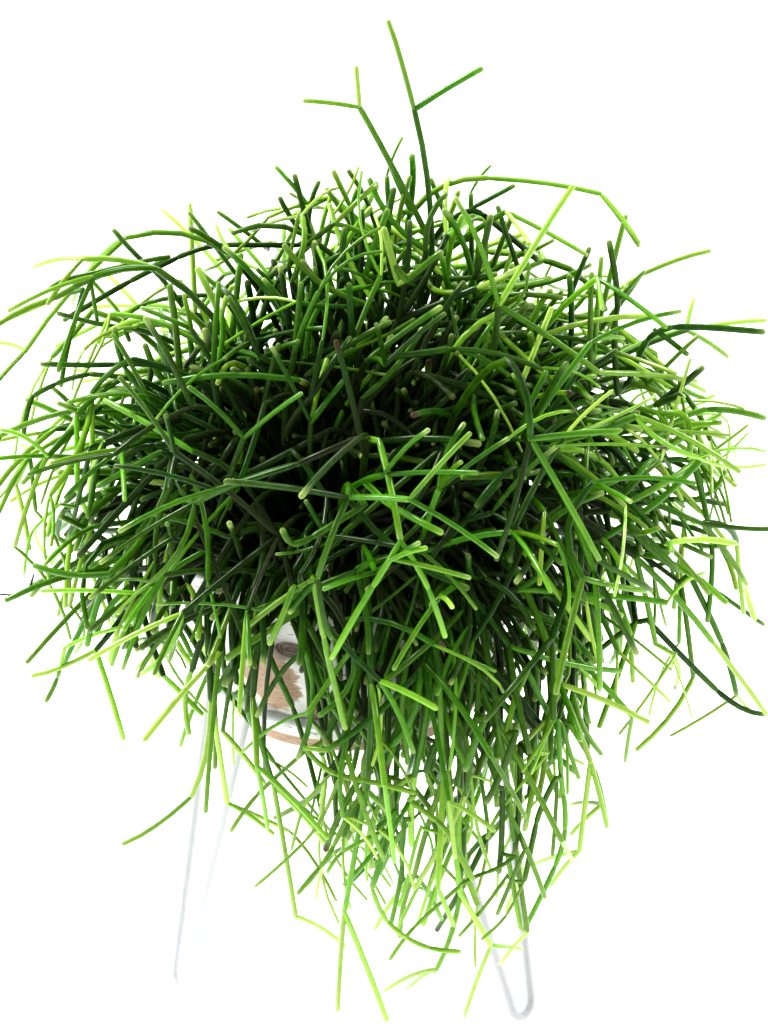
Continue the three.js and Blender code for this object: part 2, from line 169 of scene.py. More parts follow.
def points_on(arc, steps=STEM["steps"]):
    return [point_on(arc, i / steps) for i in range(steps + 1)]


def steps_of(order):
    return TIP_STEPS if order > 1 else STEM["steps"]


def radius_of(order):
    return STEM["tip"] if order > 1 else STEM["side"]


class Thicket:
    """The stems and rods that are in place, as short straight lines."""

    ROOM = 40000
    MARGIN = 6
    PROBES = 6
    NEAREST = 0.9

    def __init__(self):
        self.count = 0
        self.starts = np.zeros((self.ROOM, 3))
        self.ends = np.zeros((self.ROOM, 3))
        self.middles = np.zeros((self.ROOM, 3))
        self.halves = np.zeros(self.ROOM)
        self.radii = np.zeros(self.ROOM)
        self.owners = np.zeros(self.ROOM, dtype=int)

    def place(self, points, radius, owner):
        points = np.asarray(points)
        new = slice(self.count, self.count + len(points) - 1)
        self.starts[new] = points[:-1]
        self.ends[new] = points[1:]
        self.middles[new] = (points[:-1] + points[1:]) * 0.5
        self.halves[new] = np.linalg.norm(points[1:] - points[:-1], axis=1) * 0.5
        self.radii[new] = radius
        self.owners[new] = owner
        self.count = new.stop

    def meets(self, a, b, radius, fit, but_not=None):
        """Whether the line a-b comes too near to a line in place, other than one owner's."""
        corner, clear = fit
        middle = (a + b) * 0.5
        away = self.middles[: self.count] - middle
        reach = self.halves[: self.count] + 0.5 * length_of(b - a) + self.MARGIN
        near = np.flatnonzero((away * away).sum(axis=1) < reach * reach)
        if but_not is not None:
            near = near[self.owners[near] != but_not]
        if len(near) == 0:
            return False
        space = corner * (radius + self.radii[near]) + clear
        return bool((self.gaps(a, b, near) < space * space).any())

    def gaps(self, a, b, near):
        """The least distances, squared, from the line a-b to some of the lines in place."""
        starts = self.starts[near]
        u = b - a
        v = self.ends[near] - starts
        w = a - starts
        uu = u @ u
        uv = v @ u
        vv = (v * v).sum(axis=1)
        uw = w @ u
        vw = (w * v).sum(axis=1)
        cross = uu * vv - uv * uv
        apart = cross > 1e-9 * uu * vv
        s = np.where(apart, (uv * vw - vv * uw) / np.where(apart, cross, 1), 0)
        s = np.clip(s, 0, 1)
        t = (uv * s + vw) / vv
        beyond = (t < 0) | (t > 1)
        t = np.clip(t, 0, 1)
        s = np.where(beyond, np.clip((uv * t - uw) / uu, 0, 1), s)
        r = w + s[:, None] * u - t[:, None] * v
        return (r * r).sum(axis=1)

    def room_at(self, point):
        """The distance, squared, to the nearest joint or bend, up to what a branch looks for."""
        away = self.ends[: self.count] - point
        return min((away * away).sum(axis=1).min(), GROWTH["room"] ** 2)

    def is_clear(self, points, radius, owner, fit=(STEM["corner"], STEM["clear"])):
        """Whether a stem may lie here. It may meet its own owner near its first point."""
        for i in range(1, len(points)):
            a, b = points[i - 1], points[i]
            for k in range(1, self.PROBES + 1):
                if not is_free(a + (b - a) * (k / self.PROBES), radius):
                    return False
            if self.meets(a, b, radius, fit, owner if i == 1 else None):
                return False
            apart = a + (b - a) * min(CLOSE / length_of(b - a), self.NEAREST)
            if i == 1 and self.meets(apart, b, radius, fit):
                return False
        return True


def is_free(p, radius):
    """Whether a stem through this point stays off the pot, the soil and the ring."""
    if p[2] < REACH["low"] or abs(p[0]) > REACH["x"] or abs(p[1]) > REACH["y"]:
        return False
    space = STEM["corner"] * radius + STEM["clear"]
    around = math.hypot(p[0], p[1])
    if math.hypot(around - RING_RADIUS, p[2] - RING_Z) < space + WIRE_RADIUS:
        return False
    if p[2] > POT_TOP + space or p[2] < POT["base_z"] - space:
        return True
    if around > outer_radius(p[2]) + space + GAP:
        return True
    return p[2] > SOIL_TOP + space and around < inner_radius(p[2]) - space


def fringe_at(angle):
    """1 in the middle of the fringe, where the stems hang furthest, and 0 on the other side."""
    return max(math.cos(angle - math.radians(FRINGE["azimuth"])), 0) ** FRINGE["power"]


def in_crown(p):
    around = math.hypot(p[0], p[1])
    rise = p[2] - CROWN["z"]
    if rise < 0:
        fringe = fringe_at(math.atan2(p[1], p[0]))
        return around < CROWN["side"] + mix(CROWN["taper"], CROWN["fringe_taper"], fringe) * rise
    bulge = CROWN["square"]
    return (around / CROWN["side"]) ** bulge + (rise / CROWN["rise"]) ** bulge < 1


def leaning(direction, angle, turn):
    """A unit vector at an angle to the given one, turned round it."""
    side = at(-direction[1], direction[0], 0)
    if side @ side < 1e-4:
        side = at(1, 0, 0)
    side = unit(side)
    top = np.cross(direction, side)
    sine = math.sin(angle)
    turned = side * (sine * math.cos(turn)) + top * (sine * math.sin(turn))
    return direction * math.cos(angle) + turned


GROWTH = {
    "tries": 12, "room": 24, "fork": (20, 64), "side_length": (34, 64), "tip_length": (26, 50),
    "droop": 0.22, "least_droop": 0.3, "arch": (0.02, 0.12), "set_arch": 0.04, "smooth": 0.12,
    "pairs": 0.15, "forks": 0.82,
}
# The heights, in millimetres, between which the stems come to droop fully.
LOW = {"from": 330, "span": 200}


def lowness(p):
    """0 high in the crown, and 1 well below the rim."""
    return clamp((LOW["from"] - p[2]) / LOW["span"])


def drooping(start, direction, length, rand):
    droop = GROWTH["droop"] * (GROWTH["least_droop"] + lowness(start))
    aim = unit(direction - UP * droop)
    return arched(start, start + aim * length, mix(*GROWTH["arch"], rand()))


class Spray:
    """A rooted main stem and the branches on it. `stems` holds each piece of them."""

    def __init__(self, number, joints, young=False):
        self.number = number
        self.joints = joints
        self.young = young
        self.stems = []
        self.bearing = set()

    @property
    def name(self):
        return f"spray_{self.number:02d}"

    def add(self, arc, radius, order):
        self.stems.append(Stem(arc, radius, order))


# `order` is 0 on a main stem, 1 on a side branch and more on what grows from it.
Stem = namedtuple("Stem", "arc radius order")


def root_of(joints):
    return at(joints[0][0], joints[0][1], SOIL_TOP - SOIL["hole_depth"])


def main_arcs(joints):
    """The arcs of a main stem above its hole, bent so that it runs smoothly past its joints."""
    arcs = []
    for i in range(1, len(joints)):
        before = joints[i - 2] if i > 1 else root_of(joints)
        after = joints[min(i + 1, len(joints) - 1)]
        swell = joints[i - 1] + joints[i] - before - after
        bend = (joints[i - 1] + joints[i]) * 0.5 + swell * GROWTH["smooth"]
        arcs.append(Arc(joints[i - 1], bend, joints[i]))
    return arcs


def main_points(joints):
    points = [root_of(joints), joints[0]]
    for arc in main_arcs(joints):
        points += points_on(arc)[1:]
    return points


class Plant:
    """Grows the sprays that the construction has, in the same order and from the same draws."""

    def __init__(self):
        self.thicket = Thicket()
        self.sprays = []
        for index in range(LEG["count"]):
            self.thicket.place(leg_line(index), WIRE_RADIUS, -1)
        for leader in LEADERS:
            self.plant_leader(**leader)
        for index in range(CANOPY["sprays"]):
            self.plant_ruled(index)
        for index, spray in enumerate(self.sprays):
            self.add_branches(spray, index)

    def plant_main(self, joints):
        points = main_points(joints)
        for other in self.sprays:
            if length_of((joints[0] - other.joints[0])[:2]) <= CANOPY["root_space"]:
                return None
        number = len(self.sprays) + 1
        if not self.thicket.is_clear(points[1:], STEM["radius"], number):
            return None
        self.thicket.place(points, STEM["radius"], number)
        spray = Spray(number, joints)
        for arc in main_arcs(joints):
            spray.add(arc, STEM["radius"], 0)
        self.sprays.append(spray)
        return spray

    def plant_leader(self, root, joints, sides, young):
        line = [at(*root, MOUTH_Z)] + [at(*joint) for joint in joints]
        spray = self.plant_main(line)
        if spray is None:
            raise ValueError("a leader is not clear")
        spray.young = young
        for number, end, *tips in sides:
            self.set_branch(spray, line[number], at(*end), 1)
            for tip in tips:
                self.set_branch(spray, at(*end), at(*tip), 2)
            spray.bearing.add(number)

    def set_branch(self, spray, start, end, order):
        arc = arched(start, end, GROWTH["set_arch"])
        points = points_on(arc, steps_of(order))
        self.thicket.place(points, radius_of(order), spray.number)
        spray.add(arc, radius_of(order), order)

    def plant_ruled(self, index):
        rand = seeded("main", index)
        for _ in range(CANOPY["tries"]):
            if self.plant_main(ruled_joints(index, CANOPY["sprays"], rand)):
                return

    def add_branches(self, spray, index):
        rand = seeded("branches", index)
        last = len(spray.joints) - 1
        for i in range(1, last + 1):
            if i in spray.bearing:
                continue
            direction = unit(spray.joints[i] - spray.joints[i - 1])
            if i < last:
                count = 2 if rand() < GROWTH["pairs"] else 1
                self.grow_sides(spray, spray.joints[i], direction, count, rand)
            elif not spray.bearing:
                self.grow_tips(spray, spray.joints[i], direction, rand, STEM["radius"])

    def grow_sides(self, spray, joint, direction, count, rand):
        for _ in range(count):
            grown = self.grow_branch(spray, joint, direction, 1, rand, STEM["side"])
            if grown and rand() < GROWTH["forks"]:
                self.grow_tips(spray, grown.end, onward(grown), rand, STEM["side"])

    def grow_tips(self, spray, joint, direction, rand, thick):
        """Two tips fork from the end of a stem. The first needs as much room as the stem."""
        self.grow_branch(spray, joint, direction, 2, rand, thick)
        self.grow_branch(spray, joint, direction, 2, rand, STEM["tip"])

    def grow_branch(self, spray, joint, direction, order, rand, radius):
        lengths = GROWTH["tip_length"] if order > 1 else GROWTH["side_length"]
        best = None
        most = -1.0
        for _ in range(GROWTH["tries"]):
            angle = math.radians(mix(*GROWTH["fork"], rand()))
            turn = 2 * math.pi * rand()
            length = mix(*lengths, rand())
            arc = drooping(joint, leaning(direction, angle, turn), length, rand)
            room = self.thicket.room_at(arc.end)
            if not in_crown(arc.end) or room <= most:
                continue
            if self.thicket.is_clear(points_on(arc, steps_of(order)), radius, spray.number):
                best = arc
                most = room
        if best is not None:
            points = points_on(best, steps_of(order))
            self.thicket.place(points, radius, spray.number)
            spray.add(best, radius_of(order), order)
        return best


def leg_line(index, straights=1, bends=6):
    """One hairpin leg: two straight rods from the ring, joined by a round bend at the foot."""
    middle = math.radians(90 + LEG["turn"] + 360 / LEG["count"] * index)
    spread = math.radians(LEG["spread"])
    ends = [polar(RING_RADIUS, middle + side * spread, RING_Z) for side in (1, -1)]
    across = polar(1, middle + math.pi / 2, 0)
    foot = polar(LEG["foot_radius"], middle, WIRE_RADIUS - LEG["flat"])
    rise = unit((ends[0] + ends[1]) * 0.5 - foot)
    centre = foot + rise * LEG["bend_radius"]
    bend = []
    for i in range(bends + 1):
        angle = math.pi * i / bends
        aside = across * (LEG["bend_radius"] * math.cos(angle))
        bend.append(centre + aside - rise * (LEG["bend_radius"] * math.sin(angle)))
    down = [mix(ends[0], bend[0], k / straights) for k in range(straights)]
    up = [mix(bend[-1], ends[1], k / straights) for k in range(1, straights + 1)]
    return np.array(down + bend + up)


def leader(root, *joints, sides=(), young=False):
    """A listed spray: where it stands in the soil, and what its main stem passes, tip last.

    Each of its sides is a set branch: the number of the joint that bears it and its end, then
    the ends of the tips that the branch bears.
    """
    return {"root": root, "joints": joints, "sides": sides, "young": young}


LEADERS = [
    # the tall upright sprig over the crown, with a forked branch on its left
    leader(
        (10, 12), (28, 12, 300), (44, 5, 383), (37, 5, 447), (26, 5, 488),
        sides=[(2, (12, 5, 449), (-14, 5, 453), (11, 5, 468)), (3, (69, 5, 465))],
    ),
    # the long arch to the right at the top
    leader((26, 34), (32, 32, 306), (34, 26, 392), (72, 20, 411), (125, 18, 402)),
    # the young fork on the right of the crown
    leader(
        (44, -20), (58, -40, 300), (70, -60, 371), (51, -62, 421),
        sides=[(2, (103, -60, 424)), (2, (115, -60, 338))], young=True,
    ),
    # long arches to the left
    leader((-18, 24), (-24, 28, 312), (-50, 30, 374), (-102, 30, 386), (-155, 28, 332)),
    leader((-34, 4), (-44, 2, 322), (-86, 0, 378), (-134, -2, 366), (-203, -4, 338)),
    leader((-48, -14), (-64, -18, 300), (-114, -20, 318), (-163, -20, 305), (-201, -20, 282)),
    leader((-50, -32), (-68, -50, 296), (-93, -65, 252), (-120, -72, 216), (-151, -72, 204)),
    leader((-40, -46), (-64, -80, 268), (-66, -97, 200), (-78, -99, 152), (-112, -99, 128), young=True),
    # to the right
    leader(
        (40, 16), (72, 18, 308), (124, 20, 332), (145, 20, 361), (179, 20, 372),
        sides=[(2, (137, 16, 392))],
    ),
    leader((60, 2), (86, 0, 296), (123, 0, 322), (166, 0, 339), (203, 0, 342)),
    leader((60, -18), (88, -34, 284), (116, -58, 286), (163, -62, 264), (199, -60, 259)),
    leader((50, -36), (80, -64, 282), (132, -66, 250), (170, -62, 203), (198, -60, 162)),
    # the fringe that hangs over the front of the pot, below its base
    leader(
        (4, -60), (6, -104, 276), (7, -130, 222), (3, -132, 170), (-9, -130, 106), (-14, -130, 52),
        sides=[(4, (9, -131, 46))], young=True,
    ),
    leader(
        (22, -58), (30, -100, 270), (37, -122, 220), (38, -122, 168), (45, -120, 106), (33, -120, 66),
        young=True,
    ),
    leader((40, -52), (70, -90, 264), (92, -110, 208), (106, -112, 169), (114, -112, 134), young=True),
    leader((-24, -56), (-34, -98, 262), (-46, -114, 210), (-39, -114, 165), (-32, -112, 93), young=True),
    leader((32, -44), (52, -98, 256), (63, -124, 196), (70, -122, 135), (76, -122, 86), young=True),
    # the sprays nearest to the front of the crown
    leader(
        (30, -28), (48, -78, 326), (68, -126, 366), (76, -140, 336), (61, -142, 283),
        sides=[(3, (113, -140, 338)), (3, (105, -142, 281))],
    ),
    leader((2, -32), (8, -86, 312), (6, -130, 336), (-20, -140, 329), (-55, -140, 319)),
    leader(
        (-8, -46), (-2, -100, 300), (0, -142, 314), (-14, -150, 282), (-9, -150, 253),
        sides=[(3, (-27, -150, 266))], young=True,
    ),
]

# Millimetres, with angles in radians but for the widest tilt. Pairs are bounds to draw between.
CANOPY = {
    "sprays": 32, "widest": 140, "drift": (-0.25, 0.25), "reach": (0.86, 1), "top_reach": 138,
    "side_reach": 172, "low_reach": 96, "fringe_reach": 156, "square": 0.75, "to_back": 0.5,
    "root_ring": 66, "root_power": 0.8, "root_share": (0.8, 1), "root_drift": (-0.2, 0.2),
    "root_space": 7.5, "shoulder_rise": (60, 95), "shoulder_out": 42, "hang_rise": (20, 140),
    "hang_in": 46, "hang_out": 60, "joint_every": 56, "fewest_joints": 3, "wobble": 8, "tries": 80,
}
GOLDEN_ANGLE = math.pi * (3 - math.sqrt(5))


def cubic(p, t):
    s = 1 - t
    return p[0] * s * s * s + p[1] * 3 * s * s * t + p[2] * 3 * s * t * t + p[3] * t * t * t


def turn_to_back(even, share):
    angle = even
    for _ in range(12):
        angle = even + share * math.cos(angle)
    return angle


def astray(rand):
    return at(rand() - 0.5, rand() - 0.5, rand() - 0.5)


def joints_on(path, every, wobble, rand):
    """Joints at even steps along a cubic path, each a little astray."""
    length = sum(length_of(cubic(path, (i + 1) / 8) - cubic(path, i / 8)) for i in range(8))
    count = max(CANOPY["fewest_joints"], math.floor(length / every + 0.5))
    joints = [path[0]]
    for i in range(1, count + 1):
        joints.append(cubic(path, i / count) + astray(rand) * wobble)
    return joints


def ruled_joints(index, sprays, rand, to_back=CANOPY["to_back"]):
    """The joints of a ruled main stem: up out of the soil, over the rim and down to its tip."""
    share = (index + 0.5) / sprays
    widest = math.radians(CANOPY["widest"])
    tilt = math.acos(1 - share * (1 - math.cos(widest)))
    level = tilt / widest
    angle = turn_to_back(index * GOLDEN_ANGLE, to_back) + mix(*CANOPY["drift"], rand())
    down = max(-math.cos(tilt), 0)
    upward = max(math.cos(tilt), 0)
    reach = mix(*CANOPY["reach"], rand())
    low_reach = mix(CANOPY["low_reach"], CANOPY["fringe_reach"], fringe_at(angle))
    square = CANOPY["square"]
    wide = reach * CANOPY["side_reach"] * math.sin(tilt) ** square
    rise = reach * (CANOPY["top_reach"] * upward**square - low_reach * down**square)
    foot = CANOPY["root_ring"] * level ** CANOPY["root_power"] * mix(*CANOPY["root_share"], rand())
    mouth = polar(foot, angle + mix(*CANOPY["root_drift"], rand()), MOUTH_Z)
    tip = polar(wide, angle, CROWN["z"] + rise)
    outward = polar(1, angle, 0)
    over = outward * (CANOPY["shoulder_out"] * level)
    shoulder = mouth + UP * mix(*CANOPY["shoulder_rise"], upward) + over
    out = CANOPY["hang_out"] * down - CANOPY["hang_in"] * math.sin(tilt)
    hang = tip + UP * mix(*CANOPY["hang_rise"], down) + outward * out
    return joints_on([mouth, shoulder, hang, tip], CANOPY["joint_every"], CANOPY["wobble"], rand)


# ---------------- the stems between

# Millimetres and degrees. Azimuth 0 is to the right and -90 is to the front.
BUSH = {
    "z": 256, "side": 167, "to_right": 24, "leaning": 2.0, "top": 18, "to_back": 4, "to_both": 25,
    "rise": 165, "round": 1.25, "square": 0.8, "trimmed": 0.06, "trimmed_power": 4, "taper": 0.8,
    "lowest": 154, "fringe_taper": 0.28, "fringe_lowest": 48, "fringe": -80, "fringe_power": 3,
}
# Where the front of the bush is thin, so that one sees into its inside. `dark` takes the painted light
# of the outline off the stems that lie towards it, and the last number darkens their colour further,
# both as painted shade.
HOLLOW = {"azimuth": -96, "height": 28, "narrow": 5, "deep": 0.34, "dark": 0.95, "painted_shade": 0.3}
# How many stems each family has, and how they run: from a mouth in the soil to a shoulder, to
# where they hang, and to a tip, `out` from the middle. Pairs are bounds to draw between, angles
# are in radians but for azimuths and tilts, `lag` is the share of the drift where a stem hangs,
# each row of `dome` gives shares of the tilt, the drift and the dome's size, and `every` is the
# distance between joints.
FAMILIES = {
    "tuft": {
        "count": 60, "widest": 92, "height": (0.82, 1.06), "mouth": (4, 40), "first_out": 0.72,
        "first_z": 308, "drift": (-0.4, 0.4), "stray": (-8, 8),
    },
    "arching": {"count": 104, "inward": (0.66, 1)},
    "draped": {
        "count": 112, "widest": 62, "drift": (-1.5, 1.5), "tilt": (42, 112), "share": (0.55, 1.0),
        "dome": ((0.35, 0.9, 0.72), (0.7, 0.5, 1), (1, 0, 1)), "every": (44, 60), "wobble": 16,
    },
    "flank": {
        "count": 74, "turn": (-0.8, 0.8), "out": (120, 204), "tip_z": (180, 356), "mouth": (20, 66),
        "mouth_turn": (-0.5, 0.5), "shoulder_out": 0.45, "shoulder_z": (290, 370), "hang_out": 0.85,
        "hang_z": 340, "drift": (-0.4, 0.4), "every": (44, 60), "wobble": 14,
    },
    "skirt": {
        "count": 60, "drift": (-0.9, 0.9), "lag": 0.4, "out": (104, 150), "mouth": (40, 66),
        "mouth_turn": (-0.3, 0.3), "shoulder": (76, 104), "shoulder_z": (262, 310),
        "hang_z": (215, 265), "tip_z": (165, 235), "every": (44, 60), "wobble": 12,
    },
    "crossing": {
        "count": 44, "azimuths": (-122, -42), "drift": (0.3, 1.0), "lag": 0.4, "out": (98, 146),
        "tip_z": (110, 235), "mouth": (34, 66), "mouth_turn": (-0.3, 0.3), "shoulder": (74, 104),
        "shoulder_z": (262, 310), "hang_z": 280, "every": (40, 60), "wobble": 12,
    },
    "hanging": {
        "count": 88, "azimuths": (-114, -50), "drift": (-0.6, 0.6), "lag": 0.5, "out": (96, 150),
        "tip_z": (72, 188), "mouth": (34, 66), "mouth_turn": (-0.3, 0.3), "shoulder": (70, 100),
        "shoulder_z": (280, 330), "hang_z": 290, "every": (50, 76), "wobble": 8,
    },
}
# Where a stem over the side hangs: how much further out than its tip, and how far up from the
# tip's height to the family's own.
HANG = {"out": 6, "up": 0.6}
BETWEEN = {
    "groups": 12, "crowded": 2, "detours": 8, "detour": 7,
    "onward": 0.35, "branch_tries": 9, "fit": (1.0, 0.0), "main_girth": (0.86, 1.08),
    "girth": (0.9, 1.1), "pairs": 0.5, "side_length": (36, 80), "tip_length": (26, 64),
    "fork": (16, 58), "droop": (0.22, 0.46), "least_droop": 0.1, "narrow": 0.2, "arch": (-0.02, 0.16),
    "curl": (0.0, 0.26), "hook": 0.42, "hooks": 0.06, "outline": (0.78, 1.16), "outline_power": 1.15,
    "turned_in": (0.3, 0.8), "taper": 0.82, "steps": 3, "radii": (1.75, 1.6, 1.4, 0.8), "hanging": 0.8,
    "forks_again": (0, 0.75, 0.3, 0), "sprouts": 0.5, "sprouts_within": 1.06,
}
# The pot shows at the left of its front, where few stems hang.
WINDOW = {"left": -90, "right": -20, "low": 158, "top": 234, "keep": 0.18}

BUSH_MIDDLE = at(0, 0, BUSH["z"])
INTO_HOLLOW = unit(
    polar(1, math.radians(HOLLOW["azimuth"]), math.tan(math.radians(HOLLOW["height"])))
)


def hangs_at(angle):
    """1 where the stems between hang furthest, and 0 on the other side."""
    facing = math.cos(angle - math.radians(BUSH["fringe"]))
    return max(facing, 0) ** BUSH["fringe_power"]


def depth_in_bush(p):
    """0 on the axis, 1 on the outline of the stems between: a dome, narrower below its middle."""
    rise = p[2] - BUSH["z"]
    x = p[0] - BUSH["top"] * max(rise, 0) / BUSH["rise"]
    around = math.hypot(x, p[1])
    angle = math.atan2(p[1], x)
    to_right = BUSH["to_right"] * (1 - BUSH["leaning"] * (max(rise, 0) / BUSH["rise"]) ** 2)
    side = BUSH["side"] + to_right * math.cos(angle) + BUSH["to_back"] * math.sin(angle)
    side += BUSH["to_both"] * math.cos(angle) ** 2
    bulge = BUSH["round"]
    if rise > 0:
        return ((around / side) ** bulge + (rise / BUSH["rise"]) ** bulge) ** (1 / bulge)
    return around / (side + mix(BUSH["taper"], BUSH["fringe_taper"], hangs_at(angle)) * rise)


def in_bush(p, outline):
    lowest = mix(BUSH["lowest"], BUSH["fringe_lowest"], hangs_at(math.atan2(p[1], p[0])))
    toward = unit(p - BUSH_MIDDLE)
    outline *= 1 - HOLLOW["deep"] * max(toward @ INTO_HOLLOW, 0) ** HOLLOW["narrow"]
    outline *= 1 - BUSH["trimmed"] * max(toward[2], 0) ** BUSH["trimmed_power"]
    return p[2] > lowest and depth_in_bush(p) < outline


def fine_points(arc):
    return points_on(arc, BETWEEN["steps"])


def on_dome(tilt, angle, share=1.0):
    """A point on the bush's dome, or inside it by a share, at a tilt from straight up."""
    square = BUSH["square"]
    wide = share * BUSH["side"] * math.sin(tilt) ** square
    rise = share * BUSH["rise"] * math.copysign(abs(math.cos(tilt)) ** square, math.cos(tilt))
    return polar(wide, angle, BUSH["z"] + rise)


def joints_along(path, rule, rand):
    return joints_on(path, mix(*rule["every"], rand()), rule["wobble"], rand)


def mouth_of(rule, angle, rand):
    out = mix(*rule["mouth"], rand())
    return polar(out, angle + mix(*rule["mouth_turn"], rand()), MOUTH_Z)


def shoulder_of(rule, angle, rand):
    out = mix(*rule["shoulder"], rand())
    return polar(out, angle, mix(*rule["shoulder_z"], rand()))


def over_rim(rule, mouth, angle, drift, out, tip_z, rand):
    """A path from its mouth over the rim and down to its tip, turned by a drift on the way."""
    shoulder = shoulder_of(rule, angle, rand)
    hang_z = mix(tip_z, rule["hang_z"], HANG["up"])
    hang = polar(out + HANG["out"], angle + rule["lag"] * drift, hang_z)
    return [mouth, shoulder, hang, polar(out, angle + drift, tip_z)]


def azimuth_in_row(rule, index, rand):
    return math.radians(mix(*rule["azimuths"], (index + rand()) / rule["count"]))


def tuft_joints(rule, index, rand):
    """Up through the bush to a tip that stands out of its top."""
    share = (index + rand()) / rule["count"]
    angle = index * GOLDEN_ANGLE
    out = rule["widest"] * math.sqrt(share)
    bulge = BUSH["round"]
    crown = BUSH["rise"] * (1 - (out / BUSH["side"]) ** bulge) ** (1 / bulge)
    to_right = at(BUSH["top"] * crown / BUSH["rise"], 0, 0)
    tip = polar(out, angle, BUSH["z"] + crown * mix(*rule["height"], rand())) + to_right
    mouth = polar(mix(*rule["mouth"], rand()), angle, MOUTH_Z)
    first_out = rule["first_out"] * out
    first = polar(first_out, angle + mix(*rule["drift"], rand()), rule["first_z"])
    aside = at(mix(*rule["stray"], rand()), mix(*rule["stray"], rand()), 0)
    return [mouth, first, mix(first, tip, 0.5) + aside, tip]


def arching_joints(rule, index, rand):
    """Up out of the soil and over, to all sides."""
    joints = ruled_joints(index, rule["count"], rand, 0)
    inward = mix(*rule["inward"], rand())
    pulled_in = [BUSH_MIDDLE + (joint - BUSH_MIDDLE) * inward for joint in joints[2:]]
    return joints[:2] + pulled_in


def draped_joints(rule, index, rand):
    """Up through the bush and then sideways over its dome."""
    angle = index * GOLDEN_ANGLE
    drift = mix(*rule["drift"], rand())
    tilt = math.radians(mix(*rule["tilt"], rand()))
    share = mix(*rule["share"], rand())
    path = [polar(rule["widest"] * math.sqrt(rand()), angle + drift, MOUTH_Z)]
    for along, turn, size in rule["dome"]:
        path.append(on_dome(along * tilt, angle + turn * drift, size * share))
    return joints_along(path, rule, rand)


def flank_joints(rule, index, rand):
    """Far out to the sides: three in five to the right and two to the left."""
    angle = (index % 5 > 2) * math.pi + mix(*rule["turn"], rand())
    out = mix(*rule["out"], rand())
    tip_z = mix(*rule["tip_z"], rand())
    mouth = mouth_of(rule, angle, rand)
    shoulder = polar(rule["shoulder_out"] * out, angle, mix(*rule["shoulder_z"], rand()))
    hang = polar(rule["hang_out"] * out, angle, mix(tip_z, rule["hang_z"], HANG["up"]))
    tip = polar(out, angle + mix(*rule["drift"], rand()), tip_z)
    return joints_along([mouth, shoulder, hang, tip], rule, rand)


def skirt_joints(rule, index, rand):
    """Over the rim and then sideways round the pot."""
    angle = index * GOLDEN_ANGLE
    drift = mix(*rule["drift"], rand())
    out = mix(*rule["out"], rand())
    mouth = mouth_of(rule, angle, rand)
    shoulder = shoulder_of(rule, angle, rand)
    hang = polar(out, angle + rule["lag"] * drift, mix(*rule["hang_z"], rand()))
    tip = polar(out, angle + drift, mix(*rule["tip_z"], rand()))
    return joints_along([mouth, shoulder, hang, tip], rule, rand)


def crossing_joints(rule, index, rand):
    """Over the rim in front and then aslant, one way or the other."""
    angle = azimuth_in_row(rule, index, rand)
    drift = math.copysign(mix(*rule["drift"], rand()), index % 2 - 0.5)
    out = mix(*rule["out"], rand())
    tip_z = mix(*rule["tip_z"], rand())
    mouth = mouth_of(rule, angle, rand)
    path = over_rim(rule, mouth, angle, drift, out, tip_z, rand)
    return joints_along(path, rule, rand)


def hanging_joints(rule, index, rand):
    """Over the rim at the fringe and down."""
    angle = azimuth_in_row(rule, index, rand)
    drift = mix(*rule["drift"], rand())
    mouth = mouth_of(rule, angle, rand)
    out = mix(*rule["out"], rand())
    tip_z = mix(*rule["tip_z"], rand())
    path = over_rim(rule, mouth, angle, drift, out, tip_z, rand)
    return joints_along(path, rule, rand)


# The families in the order in which they grow.
FAMILY_JOINTS = {
    "tuft": tuft_joints,
    "arching": arching_joints,
    "draped": draped_joints,
    "flank": flank_joints,
    "skirt": skirt_joints,
    "crossing": crossing_joints,
    "hanging": hanging_joints,
}


def flat(y, *places):
    """Points across and up, all in one upright plane."""
    return [(x, y, z) for x, z in places]


